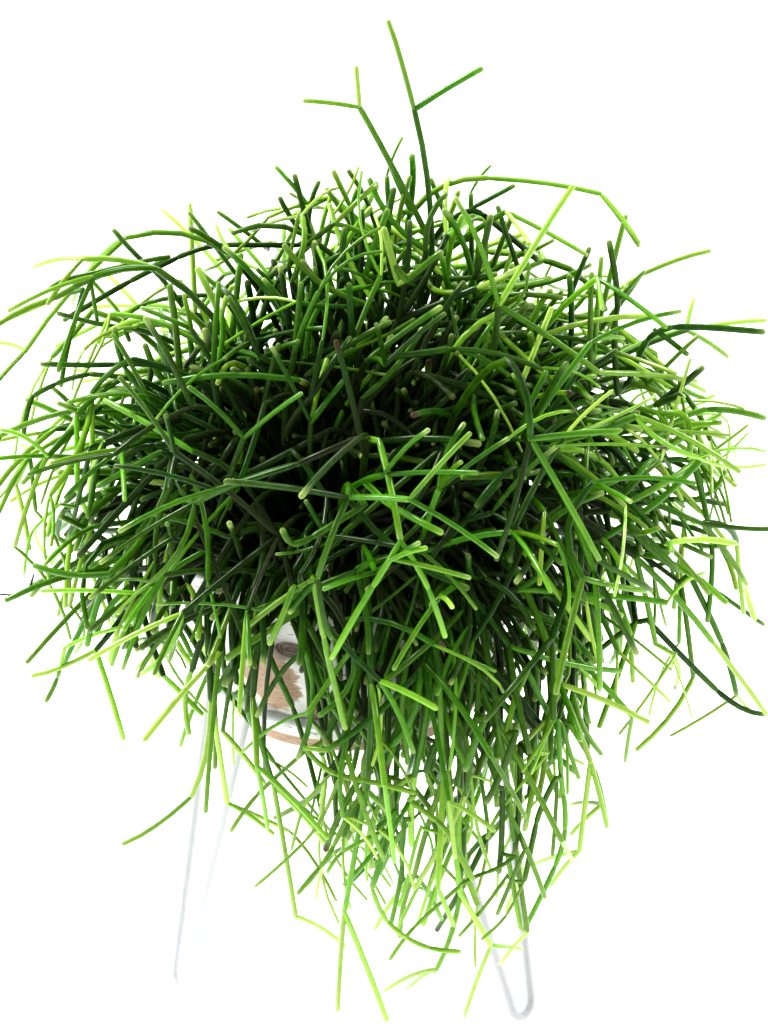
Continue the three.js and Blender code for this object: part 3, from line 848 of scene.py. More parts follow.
# Single stems that show by themselves: how thick each one is, how young, and the points that it
# passes, with its tip last. It grows from the stem nearest to its first point.
ACCENTS = [
    # the lime forks over the middle of the rim
    (1.5, 0.52, [(14, -118, 330), (18, -136, 319), (21, -150, 297)]),
    (1.4, 0.56, [(21, -150, 297), (16, -152, 289), (2, -150, 266), (-10, -148, 243)]),
    (1.3, 0.56, [(21, -150, 297), (29, -152, 284), (35, -150, 267), (39, -148, 251)]),
    (1.2, 0.56, [(16, -152, 289), (24, -155, 295), (32, -156, 296)]),
    (1.2, 0.56, [(17, -152, 290), (33, -152, 286), (50, -150, 279)]),
    (1.4, 0.56, [(-16, -150, 282), (-14, -150, 266), (-11, -146, 241), (-5, -142, 206)]),
    (1.4, 0.52, [(-24, -150, 278), (-30, -150, 263), (-36, -148, 251)]),
    (1.3, 0.52, [(-18, -150, 280), (-30, -148, 272), (-45, -144, 258)]),
    # the dark stem that ends in a hook beside them
    (1.5, 0.3, [(7, -130, 306), (-9, -140, 300), (-22, -146, 295), (-26, -148, 298), (-28, -148, 304)]),
    (1.5, 0.5, [(17, -120, 302), (28, -140, 302), (39, -146, 298)]),
    # arches and thin new stems at the right
    (1.6, 0.5, flat(-30, (139, 292), (159, 308), (181, 309), (198, 303))),
    (1.5, 0.6, [(144, -50, 314), (154, -56, 318), (158, -58, 308), (157, -58, 294)]),
    (0.6, 0.95, flat(-10, (170, 299), (181, 301), (187, 288), (183, 270))),
    (0.7, 0.95, flat(-10, (173, 270), (185, 278), (194, 289))),
    (1.3, 0.5, flat(-20, (158, 260), (176, 256), (182, 274))),
    (1.5, 0.4, [(162, -40, 229), (174, -40, 204), (184, -38, 179), (188, -36, 161)]),
    (0.8, 0.95, [(188, -36, 161), (173, -40, 152), (154, -44, 144)]),
    (0.7, 0.95, [(188, -36, 161), (193, -34, 154), (197, -32, 149)]),
    (1.4, 0.2, [(139, -60, 215), (161, -56, 188), (188, -50, 158), (200, -48, 156)]),
    (1.1, 0.4, [(153, -30, 231), (170, -26, 220), (188, -22, 204), (204, -20, 191)]),
    (1.4, 0.4, [(164, -36, 281), (171, -38, 256), (174, -40, 231), (171, -42, 204)]),
    (0.8, 0.95, [(151, -70, 201), (139, -74, 182), (124, -76, 163)]),
    (0.5, 0.95, flat(-70, (150, 198), (156, 182), (160, 167))),
    # thin ones at the left
    (0.5, 0.02, flat(-20, (-154, 233), (-156, 226), (-162, 222), (-173, 224))),
    (1.1, 0.7, [(-136, -60, 309), (-144, -62, 321), (-155, -64, 323)]),
    (1.2, 0.5, flat(-70, (-139, 202), (-142, 195), (-146, 189))),
    (0.8, 0.7, flat(-40, (-135, 277), (-145, 269), (-152, 260), (-155, 242))),
    (1.0, 0.8, [(-134, -72, 218), (-121, -74, 226), (-102, -74, 229)]),
    # a fork, arches and upright stems on the right shoulder
    (1.5, 0.3, flat(-20, (129, 315), (126, 344), (130, 362), (124, 389))),
    (1.1, 0.5, flat(-20, (130, 361), (135, 368), (141, 374))),
    (1.6, 0.2, flat(-16, (135, 319), (140, 335), (147, 344), (163, 346), (199, 341))),
    (1.3, 0.35, flat(-16, (147, 344), (155, 338), (163, 331))),
    (1.7, 0.25, flat(-40, (144, 315), (155, 323), (166, 333))),
    (1.3, 0.5, flat(-30, (115, 321), (114, 349), (115, 377))),
    (1.2, 0.6, flat(-26, (117, 334), (118, 358), (120, 383))),
    (1.5, 0.2, flat(-10, (108, 336), (109, 354), (107, 371))),
    (1.3, 0.2, flat(0, (107, 353), (112, 367), (118, 381))),
    (1.1, 0.55, flat(-20, (147, 322), (158, 334), (167, 342))),
    # upright stems on the crown
    (1.4, 0.3, flat(36, (-13, 378), (-16, 394), (-20, 413))),
    (1.1, 0.5, flat(36, (-15, 399), (-21, 408), (-29, 417))),
    (1.2, 0.35, flat(42, (-15, 380), (-14, 399), (-8, 408))),
    (1.3, 0.3, flat(42, (-17, 381), (-25, 393), (-28, 401))),
    (1.2, 0.6, flat(30, (8, 386), (1, 397), (-5, 407))),
    (1.2, 0.4, flat(36, (5, 384), (6, 394), (10, 405))),
    (1.3, 0.4, flat(20, (26, 385), (24, 400), (24, 414))),
    (0.7, 0.6, flat(20, (24, 414), (27, 424), (32, 432))),
    (1.1, 0.5, flat(14, (35, 397), (29, 410), (24, 424))),
    (1.6, 0.75, flat(-50, (26, 380), (23, 393), (20, 406))),
    (1.6, 0.4, flat(-54, (30, 382), (37, 389), (46, 395))),
    (1.4, 0.2, flat(12, (45, 384), (51, 393), (64, 399), (73, 392), (85, 381), (95, 372))),
    (1.2, 0.25, flat(12, (64, 399), (74, 404), (84, 409))),
    (1.3, 0.3, flat(26, (64, 369), (64, 387), (64, 403))),
    (0.7, 0.5, flat(26, (64, 403), (68, 411), (74, 416))),
    (1.2, 0.4, flat(30, (58, 378), (51, 393), (45, 410))),
    (1.6, 0.3, flat(-20, (63, 375), (67, 389), (70, 403))),
    (1.2, 0.3, flat(6, (89, 358), (80, 384), (75, 401))),
    # arches on the left shoulder
    (1.4, 0.25, flat(44, (-20, 376), (-44, 377), (-65, 378), (-93, 366), (-113, 356), (-138, 342))),
    (1.2, 0.4, flat(14, (-81, 380), (-97, 378), (-119, 373), (-132, 371), (-139, 366))),
    (1.3, 0.3, flat(20, (-76, 353), (-85, 369), (-96, 378), (-107, 393))),
    (1.2, 0.35, flat(24, (-124, 363), (-128, 350), (-135, 332), (-139, 314))),
    (1.0, 0.45, flat(14, (-119, 373), (-118, 360), (-117, 348))),
    (1.3, 0.35, flat(12, (-79, 337), (-98, 347), (-113, 347), (-136, 355))),
    (1.2, 0.45, flat(38, (-50, 363), (-61, 380), (-72, 396))),
    (1.1, 0.5, flat(50, (-35, 373), (-46, 383), (-59, 393))),
    (1.4, 0.25, flat(-8, (-77, 332), (-99, 335), (-117, 334), (-143, 336))),
    (1.3, 0.3, flat(-10, (-92, 325), (-112, 331), (-128, 330), (-144, 323), (-150, 319), (-154, 301))),
    (1.4, 0.3, flat(-30, (-87, 320), (-97, 331), (-104, 347), (-104, 359))),
    (1.2, 0.45, flat(20, (-63, 359), (-85, 359), (-102, 353), (-106, 345), (-103, 337))),
    # long thin ends of the fringe, from left to right
    (1.1, 0.6, flat(-112, (-24, 180), (-41, 165), (-52, 153), (-60, 140))),
    (1.3, 0.65, flat(-140, (-23, 197), (-17, 187), (-5, 181), (9, 178), (25, 172))),
    (0.8, 0.65, flat(-124, (-12, 175), (-22, 165), (-28, 153), (-32, 136))),
    (0.9, 0.7, flat(-120, (-6, 177), (-12, 162), (-19, 146), (-32, 131), (-50, 115))),
    (1.2, 0.55, flat(-134, (-4, 163), (-10, 149), (-15, 138), (-23, 128), (-30, 119))),
    (1.0, 0.55, flat(-138, (10, 153), (-5, 145), (-12, 140), (-16, 132))),
    (1.1, 0.45, flat(-128, (19, 155), (8, 137), (-9, 119))),
    (1.6, 0.4, flat(-136, (15, 161), (11, 142), (4, 122))),
    (1.2, 0.75, flat(-136, (4, 122), (7, 109), (14, 99), (24, 91), (34, 87), (44, 86))),
    (1.2, 0.5, flat(-126, (20, 151), (18, 134), (18, 120), (12, 95))),
    (0.9, 0.65, flat(-132, (27, 150), (23, 137), (20, 120), (16, 109))),
    (0.9, 0.7, flat(-122, (36, 137), (26, 114), (15, 90))),
    (1.0, 0.65, flat(-130, (46, 119), (29, 103), (18, 91), (11, 79))),
    (0.8, 0.75, flat(-120, (45, 110), (45, 102), (40, 80), (32, 64))),
    (1.4, 0.65, flat(-140, (22, 169), (29, 162), (38, 154), (44, 139), (50, 126))),
    (1.3, 0.55, flat(-112, (91, 191), (92, 163), (95, 143), (94, 126), (86, 104), (75, 80))),
    (1.4, 0.45, flat(-118, (89, 164), (82, 149), (79, 134), (75, 111))),
    (1.0, 0.6, flat(-108, (91, 159), (91, 143), (89, 118))),
    (1.1, 0.65, flat(-104, (96, 186), (105, 171), (112, 152), (115, 132))),
    (1.1, 0.6, flat(-110, (93, 188), (97, 171), (101, 159))),
    (0.9, 0.7, flat(-126, (85, 182), (70, 163), (60, 149), (57, 139))),
    (1.2, 0.55, flat(-124, (66, 154), (75, 136), (84, 105))),
    (1.3, 0.7, flat(-120, (67, 126), (70, 107), (73, 86))),
    (1.1, 0.55, flat(-130, (74, 135), (66, 114), (61, 101))),
    (0.9, 0.65, flat(-116, (67, 113), (57, 96), (44, 81))),
    (0.8, 0.7, flat(-124, (74, 114), (69, 102), (63, 92), (54, 84))),
    (1.0, 0.5, flat(-134, (69, 134), (62, 128), (51, 125), (44, 120))),
    (1.4, 0.3, flat(-130, (64, 167), (64, 136), (62, 123))),
    (1.5, 0.3, flat(-122, (73, 185), (73, 152), (70, 127))),
    (1.6, 0.35, flat(-134, (70, 197), (63, 173), (56, 162))),
    (1.6, 0.4, flat(-138, (56, 206), (48, 188), (47, 181))),
    (1.4, 0.4, flat(-118, (47, 141), (47, 122), (44, 110))),
]
# The numbers from which the owners of stems count: the listed ones and the ones between.
OWNERS = {"accents": 900, "undergrowth": 1000}


def smooth_arcs(points):
    """Arcs that pass smoothly from the first of these points to the last, bent by the others."""
    arcs = []
    start = points[0]
    for i in range(1, len(points) - 1):
        is_last = i == len(points) - 2
        end = points[i + 1] if is_last else (points[i] + points[i + 1]) * 0.5
        arcs.append(Arc(start, points[i], end))
        start = end
    return arcs


class Accents:
    """The listed stems. They are in place first, and are rooted once the rest has grown."""

    def __init__(self, thicket):
        self.thicket = thicket
        self.arcs = []
        for number, (radius, _, points) in enumerate(ACCENTS):
            arcs = smooth_arcs([at(*point) for point in points])
            self.arcs.append(arcs)
            for arc in arcs:
                thicket.place(fine_points(arc), radius, OWNERS["accents"] + number)

    def nearest(self, point, number):
        """The nearest point of another stem."""
        count = self.thicket.count
        others = self.thicket.owners[:count] != OWNERS["accents"] + number
        ends = self.thicket.ends[:count][others]
        away = ((ends - point) ** 2).sum(axis=1)
        return ends[np.argmin(away)]

    def stems(self):
        """Each arc of each stem, with its looks: whether it is the tip, its age, tone and tip."""
        rand = seeded("between", 0)
        for number, (radius, age, _) in enumerate(ACCENTS):
            arcs = self.arcs[number]
            start = arcs[0].start
            root = self.nearest(start, number)
            if length_of(root - start) > radius:
                arcs = [Arc(root, (root + start) * 0.5, start), *arcs]
            tone = rand()
            for arc in arcs:
                is_tip = arc is arcs[-1]
                yield Stem(arc, radius, 1), (is_tip, age, tone, TIPS["set"] * is_tip)


class Undergrowth:
    """The many stems between the sprays of the frame. They keep clear of each other too."""

    def __init__(self, plant):
        self.thicket = plant.thicket
        self.groups = [Spray(i + 1, []) for i in range(BETWEEN["groups"])]
        self.owner = OWNERS["undergrowth"]
        self.outline = 1.0
        for family, joints_of in FAMILY_JOINTS.items():
            for index in range(FAMILIES[family]["count"]):
                self.plant_main(family, joints_of, index)
        for spray in plant.sprays:
            self.sprout(spray)

    def group_at(self, point):
        turn = math.atan2(point[1], point[0]) / (2 * math.pi) + 0.5
        return self.groups[int(turn * len(self.groups)) % len(self.groups)]

    def plant_main(self, family, joints_of, index):
        """Grows a main stem from joint to joint, with detours round what is in its way."""
        self.owner += 1
        rand = seeded("between", self.owner)
        joints = joints_of(FAMILIES[family], index, rand)
        self.outline = mix(*BETWEEN["outline"], rand() ** BETWEEN["outline_power"])
        radius = BETWEEN["radii"][0] * mix(*BETWEEN["main_girth"], rand())
        if family == "hanging":
            radius *= BETWEEN["hanging"]
        heading = UP
        start = joints[0]
        arcs = []
        for number, goal in enumerate(joints[1:]):
            arc = self.detour(start, goal, heading, radius, number, rand)
            if arc is None:
                break
            self.thicket.place(fine_points(arc), radius, self.owner)
            arcs.append(arc)
            start = arc.end
            heading = onward(arc)
        if not arcs:
            return
        group = self.group_at(arcs[-1].end)
        for i, arc in enumerate(arcs):
            group.add(arc, radius * mix(1, BETWEEN["taper"], i / len(arcs)), 0)
        for i, arc in enumerate(arcs):
            is_last = i == len(arcs) - 1
            count = 2 if is_last or rand() < BETWEEN["pairs"] else 1
            self.fork(group, arc, 2 if is_last else 1, count, rand)

    def detour(self, start, goal, heading, radius, number, rand):
        """The next piece of a main stem. The crowd at the soil, which hides, may be pushed through."""
        for attempt in range(BETWEEN["detours"]):
            end = goal + astray(rand) * (attempt * BETWEEN["detour"])
            middle = (start + end) * 0.5
            ahead = start + heading * (0.5 * length_of(end - start))
            arc = Arc(start, mix(middle, ahead, BETWEEN["onward"]), end)
            if not self.may_hang(mix(middle, end, rand()), rand):
                continue
            if not in_bush(end, self.outline):
                continue
            points = fine_points(arc)
            if number < BETWEEN["crowded"]:
                if all(is_free(point, radius) for point in points[1:]):
                    return arc
            elif self.thicket.is_clear(points, radius, self.owner, BETWEEN["fit"]):
                return arc
        return None

    def sprout(self, spray):
        """More branches on a spray of the frame."""
        rand = seeded("sprouts", spray.number)
        self.owner = spray.number
        self.outline = BETWEEN["outline"][1]
        for stem in list(spray.stems):
            is_inside = depth_in_bush(stem.arc.end) < BETWEEN["sprouts_within"]
            if rand() < BETWEEN["sprouts"] and is_inside:
                order = min(stem.order + 1, len(BETWEEN["radii"]) - 1)
                self.fork(self.group_at(stem.arc.end), stem.arc, order, 1, rand)

    @staticmethod
    def may_hang(tip, rand):
        if tip[1] > 0 or not WINDOW["low"] < tip[2] < WINDOW["top"]:
            return True
        return not WINDOW["left"] < tip[0] < WINDOW["right"] or rand() < WINDOW["keep"]

    def fork(self, group, arc, order, count, rand):
        """Branches from the end of an arc, and what forks from them in turn."""
        for _ in range(count):
            grown = self.grow(group, arc.end, onward(arc), order, rand)
            if grown and rand() < BETWEEN["forks_again"][order]:
                self.fork(group, grown, order + 1, 2, rand)

    def grow(self, group, joint, direction, order, rand):
        lengths = BETWEEN["tip_length"] if order > 1 else BETWEEN["side_length"]
        radius = BETWEEN["radii"][order] * mix(*BETWEEN["girth"], rand())
        low = lowness(joint)
        azimuth = math.atan2(joint[1], joint[0])
        outward = polar(1, azimuth, 0)
        fringe = hangs_at(azimuth)
        turned_in = mix(*BETWEEN["turned_in"], fringe)
        droop = mix(*BETWEEN["droop"], fringe * low) * (BETWEEN["least_droop"] + low)
        narrow = 1 - BETWEEN["narrow"] * fringe * low
        for _ in range(BETWEEN["branch_tries"]):
            angle = narrow * math.radians(mix(*BETWEEN["fork"], rand()))
            heading = leaning(direction, angle, 2 * math.pi * rand())
            length = mix(*lengths, rand())
            heading = heading - outward * (turned_in * max(heading @ outward, 0))
            aim = unit(heading - UP * droop)
            end = joint + aim * length
            curl = mix(*BETWEEN["curl"], rand())
            if rand() < BETWEEN["hooks"]:
                curl = BETWEEN["hook"]
            across = leaning(aim, math.pi / 2, 2 * math.pi * rand())
            bow = UP * mix(*BETWEEN["arch"], rand()) + across * curl
            arc = Arc(joint, (joint + end) * 0.5 + bow * length, end)
            if not self.may_hang(mix(arc.bend, arc.end, rand()), rand):
                continue
            if not in_bush(arc.end, self.outline):
                continue
            points = fine_points(arc)
            if not self.thicket.is_clear(points, radius, self.owner, BETWEEN["fit"]):
                continue
            self.thicket.place(points, radius, self.owner)
            group.add(arc, radius, order)
            return arc
        return None


# ---------------- from stems to meshes

# The rings of a tube: pairs of how far from its start or end one lies and how thick it is there,
# in millimetres from the start, in radii from the end, and in shares of the stem's thickness.
RINGS = {
    "sunk": 1.0, "base": ((0.0, 0.66), (1.3, 0.86), (4.0, 1.0)), "base_share": 0.3, "middle": 4,
    "joint_end": ((1.2, 1.0), (0.0, 0.8)), "tip_end": ((0.7, 0.96), (0.25, 0.74), (0.0, 0.36)),
    "samples": 16, "main": (1.04, 0.7), "branch": 0.94,
}
# Age runs from 0, woody, to 1, new, and picks a stem's colour. It is raised on stems near the outline
# and on low hanging ones, partly for their new growth and partly as painted light, and lowered towards
# the hollow in front as painted shade.
# A tip's value is above 0 where it is pale and below where dry.
AGES_AND_SHADING = {
    "order": (0.04, 0.12, 0.2, 0.38), "outer": 0.62, "outer_from": 0.62, "outer_over": 0.46,
    "hanging": 0.18, "hanging_from": 230, "hanging_over": 100, "shaded": 0.15, "spread": (-0.2, 0.2),
    "young": 0.24, "young_lost": 0.8, "fresh": 0.06, "new_tips": (0.08, 0.14), "new_tip": 0.42,
    "along": 0.12,
}
TIPS = {
    "pale": 0.9, "pale_share": 0.3, "plain": 0.55, "dry": -1.0, "dry_share": 0.02, "set": 0.7,
    "zone": 3.2, "zone_start": 1.3,
}


def stem_rings(stem, is_tip):
    """How far along a stem its rings lie, in millimetres, and how thick each one is."""
    line = np.array(points_on(stem.arc, RINGS["samples"]))
    steps = np.linalg.norm(np.diff(line, axis=0), axis=1)
    reach = np.concatenate([[0.0], np.cumsum(steps)])
    length = reach[-1]
    ends = RINGS["tip_end"] if is_tip else RINGS["joint_end"]
    last = [(length - back * stem.radius, size) for back, size in ends]
    base = [(min(far, RINGS["base_share"] * length), size) for far, size in RINGS["base"]]
    span = last[0][0] - base[-1][0]
    count = RINGS["middle"]
    between = [(base[-1][0] + span * k / count, 1.0) for k in range(1, count)]
    rings = np.array(base + between + last)
    shares = np.interp(rings[:, 0], reach, np.linspace(0, 1, len(reach)))
    return rings[:, 0], shares, rings[:, 1], length


def tapered(spray):
    """The stems of a spray, with the main one thinner towards its end."""
    last = len(spray.joints) - 2
    for i, stem in enumerate(spray.stems):
        is_main = bool(spray.joints) and i <= last
        size = mix(*RINGS["main"], i / last) if is_main else RINGS["branch"]
        yield stem._replace(radius=stem.radius * size) if spray.joints else stem


# Sprays of the frame that are not young but a fresher green than the rest.
FRESH = ("spray_18", "spray_19")


def stem_looks(spray, kind):
    """For each stem of a spray, whether it is a tip, its age with painted light and shade in it, its
    tone and its tip's value.
    """
    rand = seeded(kind, spray.number)
    starts = {tuple(np.round(stem.arc.start, 2)) for stem in spray.stems}
    looks = []
    for stem in spray.stems:
        is_tip = tuple(np.round(stem.arc.end, 2)) not in starts
        middle = (stem.arc.start + stem.arc.end) * 0.5
        # Lighter near the outline and on low hanging stems: partly new growth, partly painted light.
        outer = clamp((depth_in_bush(middle) - AGES_AND_SHADING["outer_from"]) / AGES_AND_SHADING["outer_over"])
        facing = max(unit(middle - BUSH_MIDDLE) @ INTO_HOLLOW, 0) ** 2
        hanging = clamp((AGES_AND_SHADING["hanging_from"] - middle[2]) / AGES_AND_SHADING["hanging_over"])
        # Towards the hollow in front the stems lose the lightening of the outline: painted shade.
        outer *= (1 - HOLLOW["dark"] * facing) * (1 - AGES_AND_SHADING["shaded"] * hanging)
        age = AGES_AND_SHADING["order"][stem.order] + AGES_AND_SHADING["outer"] * outer + AGES_AND_SHADING["hanging"] * hanging
        age += mix(*AGES_AND_SHADING["spread"], rand())
        age += AGES_AND_SHADING["young"] * spray.young * (1 - AGES_AND_SHADING["young_lost"] * hanging)
        age += AGES_AND_SHADING["fresh"] * (spray.name in FRESH)
        # Stems towards the hollow in front are darkened further: painted shade.
        age *= 1 - HOLLOW["painted_shade"] * facing
        if is_tip and rand() < AGES_AND_SHADING["new_tips"][0] + AGES_AND_SHADING["new_tips"][1] * outer:
            age += AGES_AND_SHADING["new_tip"]
        share = rand()
        tip = TIPS["plain"] * is_tip
        if is_tip and share < TIPS["pale_share"]:
            tip = TIPS["pale"]
        elif is_tip and share > 1 - TIPS["dry_share"]:
            tip = TIPS["dry"]
        looks.append((is_tip, clamp(age), rand(), tip))
    return looks


class Lines:
    """Poly-lines with a value or more at each point, for the tube nodes."""

    NAMES = ("radius", "age", "tone", "tip")

    def __init__(self):
        self.points = []
        self.edges = []
        self.values = {name: [] for name in self.NAMES}
        self.count = 0

    def add(self, points, **values):
        size = len(points)
        self.points.append(points)
        order = np.arange(size - 1) + self.count
        self.edges.append(np.stack([order, order + 1], axis=1))
        for name in self.NAMES:
            self.values[name].append(np.broadcast_to(values.get(name, 0), size))
        self.count += size

    def add_stem(self, stem, is_tip, age, tone, tip):
        along, shares, sizes, length = stem_rings(stem, is_tip)
        points = np.array([point_on(stem.arc, share) for share in shares])
        points[0] -= unit(points[1] - points[0]) * RINGS["sunk"]
        near_tip = np.clip(TIPS["zone_start"] - (length - along) / TIPS["zone"], 0, 1)
        self.add(
            points * MM,
            radius=sizes * stem.radius * MM,
            age=np.clip(age + AGES_AND_SHADING["along"] * (shares - 0.5), 0, 1),
            tone=tone,
            tip=near_tip * tip,
        )

    def to_mesh(self, name):
        mesh = bpy.data.meshes.new(name)
        points = np.concatenate(self.points)
        edges = np.concatenate(self.edges)
        mesh.vertices.add(len(points))
        mesh.vertices.foreach_set("co", points.astype(np.float32).ravel())
        mesh.edges.add(len(edges))
        mesh.edges.foreach_set("vertices", edges.astype(np.int32).ravel())
        for key, parts in self.values.items():
            layer = mesh.attributes.new(key, "FLOAT", "POINT")
            layer.data.foreach_set("value", np.concatenate(parts).astype(np.float32))
        mesh.update()
        return mesh

    def to_tubes(self, name, tubes, sides, finish):
        return bake_nodes(name, self.to_mesh(name), tubes, {"Sides": sides, "Material": finish})


# How the stretch of a main stem in its hole looks: not a tip, woody, of an even tone.
ROOT_LOOKS = (False, 0, 0.3, 0)


def spray_lines(spray, kind="looks"):
    """The lines of a spray's stems, from the root of its main stem on."""
    lines = Lines()
    if spray.joints:
        root = root_of(spray.joints)
        mouth = spray.joints[0]
        arc = Arc(root, mix(root, mouth, 0.5), mouth)
        lines.add_stem(Stem(arc, STEM["radius"], 0), *ROOT_LOOKS)
    for stem, looks in zip(tapered(spray), stem_looks(spray, kind)):
        lines.add_stem(stem, *looks)
    return lines


# ---------------- node trees


class Socket:
    """An output of a node. Arithmetic on it adds Math nodes to its tree."""

    def __init__(self, graph, output):
        self.graph = graph
        self.output = output

    def __add__(self, other):
        return self.graph.math("ADD", self, other)

    def __sub__(self, other):
        return self.graph.math("SUBTRACT", self, other)

    def __mul__(self, other):
        return self.graph.math("MULTIPLY", self, other)

    def __gt__(self, other):
        return self.graph.math("GREATER_THAN", self, other)

    def __rsub__(self, other):
        return self.graph.math("SUBTRACT", other, self)

    __radd__ = __add__
    __rmul__ = __mul__


class Graph:
    """Adds nodes to a tree and links them."""

    def __init__(self, tree):
        self.tree = tree

    def make(self, kind, settings=None, inputs=None):
        """A node of this kind. Settings come first, then the values or links of its sockets."""
        node = self.tree.nodes.new(kind)
        for key, value in (settings or {}).items():
            if key == "stops":
                self.set_stops(node.color_ramp, value)
            else:
                setattr(node, key, value)
        self.fill(node, inputs or {})
        return node

    def fill(self, node, inputs):
        for key, value in inputs.items():
            if isinstance(value, Socket):
                self.tree.links.new(value.output, node.inputs[key])
            else:
                node.inputs[key].default_value = value

    def add(self, kind, settings=None, inputs=None, output=0):
        return Socket(self, self.make(kind, settings, inputs).outputs[output])

    @staticmethod
    def set_stops(ramp, stops):
        while len(ramp.elements) < len(stops):
            ramp.elements.new(0.5)
        for element, (place, colour) in zip(ramp.elements, stops):
            element.position = place
            element.color = (*colour, 1)

    def math(self, operation, *values):
        return self.add("ShaderNodeMath", {"operation": operation}, dict(enumerate(values)))

    def clamp(self, value):
        return self.math("MINIMUM", self.math("MAXIMUM", value, 0), 1)

    def step(self, value, low, high):
        """0 below low and 1 above high, and smooth between."""
        settings = {"interpolation_type": "SMOOTHSTEP"}
        inputs = {"Value": value, "From Min": low, "From Max": high}
        return self.add("ShaderNodeMapRange", settings, inputs)

    def blend(self, factor, a, b):
        """Mixes two colours."""
        inputs = {0: factor, 6: self.rgba(a), 7: self.rgba(b)}
        return self.add("ShaderNodeMix", {"data_type": "RGBA"}, inputs, output=2)

    @staticmethod
    def rgba(colour):
        return colour if isinstance(colour, Socket) else (*colour, 1)

    def noise(self, vector, scale, detail, roughness=0.5):
        inputs = {"Vector": vector, "Scale": scale, "Detail": detail, "Roughness": roughness}
        return self.add("ShaderNodeTexNoise", None, inputs, output="Fac")

    def grain(self, vector, scales, detail, roughness=0.5):
        """Noise with a scale of its own along each axis."""
        inputs = {"Vector": vector, "Scale": scales}
        stretched = self.add("ShaderNodeMapping", {"vector_type": "POINT"}, inputs)
        return self.noise(stretched, 1, detail, roughness)

    def attribute(self, name):
        settings = {"attribute_name": name, "attribute_type": "GEOMETRY"}
        return self.add("ShaderNodeAttribute", settings, output="Fac")


def new_material(name):
    """A material with an empty tree, its graph, Principled shader and Object coordinates."""
    material = bpy.data.materials.new(name)
    material.use_nodes = True
    tree = material.node_tree
    tree.nodes.clear()
    graph = Graph(tree)
    shader = graph.make("ShaderNodeBsdfPrincipled")
    output = graph.make("ShaderNodeOutputMaterial")
    tree.links.new(shader.outputs[0], output.inputs["Surface"])
    place = graph.add("ShaderNodeTexCoord", output="Object")
    return material, graph, shader, place


def finish_material(graph, shader, inputs, height=None, strength=None, distance=None):
    """Sets the shader's sockets, and bumps its surface by a height if there is one."""
    if height is not None:
        bump = {"Height": height, "Strength": strength, "Distance": distance}
        inputs = {**inputs, "Normal": graph.add("ShaderNodeBump", None, bump)}
    graph.fill(shader, inputs)


def start_geometry(name, inputs):
    """The graph of a new Geometry Nodes tree, and its inputs: geometry, these and a material."""
    tree = bpy.data.node_groups.new(name, "GeometryNodeTree")
    inputs = [("Geometry", "Geometry"), *inputs, ("Material", "Material")]
    for title, kind in inputs:
        tree.interface.new_socket(title, in_out="INPUT", socket_type="NodeSocket" + kind)
    tree.interface.new_socket("Geometry", in_out="OUTPUT", socket_type="NodeSocketGeometry")
    graph = Graph(tree)
    given = graph.make("NodeGroupInput")
    return graph, [Socket(graph, given.outputs[i]) for i in range(len(inputs))]


def finish_geometry(graph, geometry, material):
    """Ends a tree in plain geometry with its material."""
    real = graph.add("GeometryNodeRealizeInstances", None, {0: geometry})
    inputs = {"Geometry": real, "Material": material}
    graph.make("NodeGroupOutput", None, {0: graph.add("GeometryNodeSetMaterial", None, inputs)})
    return graph.tree


def tube_nodes():
    """Geometry nodes that make a round tube along each line, as thick as its radius says."""
    graph, (lines, sides, material) = start_geometry("Stem tubes", [("Sides", "Int")])
    curve = graph.add("GeometryNodeMeshToCurve", None, {"Mesh": lines})
    inputs = {"Resolution": sides, "Radius": 1.0}
    circle = graph.add("GeometryNodeCurvePrimitiveCircle", None, inputs)
    settings = {"data_type": "FLOAT"}
    radius = graph.add("GeometryNodeInputNamedAttribute", settings, {"Name": "radius"})
    inputs = {"Curve": curve, "Profile Curve": circle, "Scale": radius, "Fill Caps": True}
    tubes = graph.add("GeometryNodeCurveToMesh", None, inputs)
    smooth = graph.add("GeometryNodeSetShadeSmooth", None, {0: tubes})
    return finish_geometry(graph, smooth, material)


def bake_nodes(name, source, tree, values):
    """A new object with the mesh that a node tree makes of the source mesh."""
    carrier = link_object(name + "_source", source)
    modifier = carrier.modifiers.new("Nodes", "NODES")
    modifier.node_group = tree
    for item in tree.interface.items_tree:
        if item.in_out == "INPUT" and item.name in values:
            modifier[item.identifier] = values[item.name]
    graph = bpy.context.evaluated_depsgraph_get()
    mesh = bpy.data.meshes.new_from_object(carrier.evaluated_get(graph), depsgraph=graph)
    mesh.name = name
    bpy.data.objects.remove(carrier)
    return link_object(name, mesh)


def link_object(name, data):
    made = bpy.data.objects.new(name, data)
    bpy.context.scene.collection.objects.link(made)
    return made


def place_piece(piece, slot, *nodes):
    """Hands a finished piece to the frame."""
    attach(piece, "root")
    if nodes:
        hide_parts(*nodes)


# ---------------- finishes


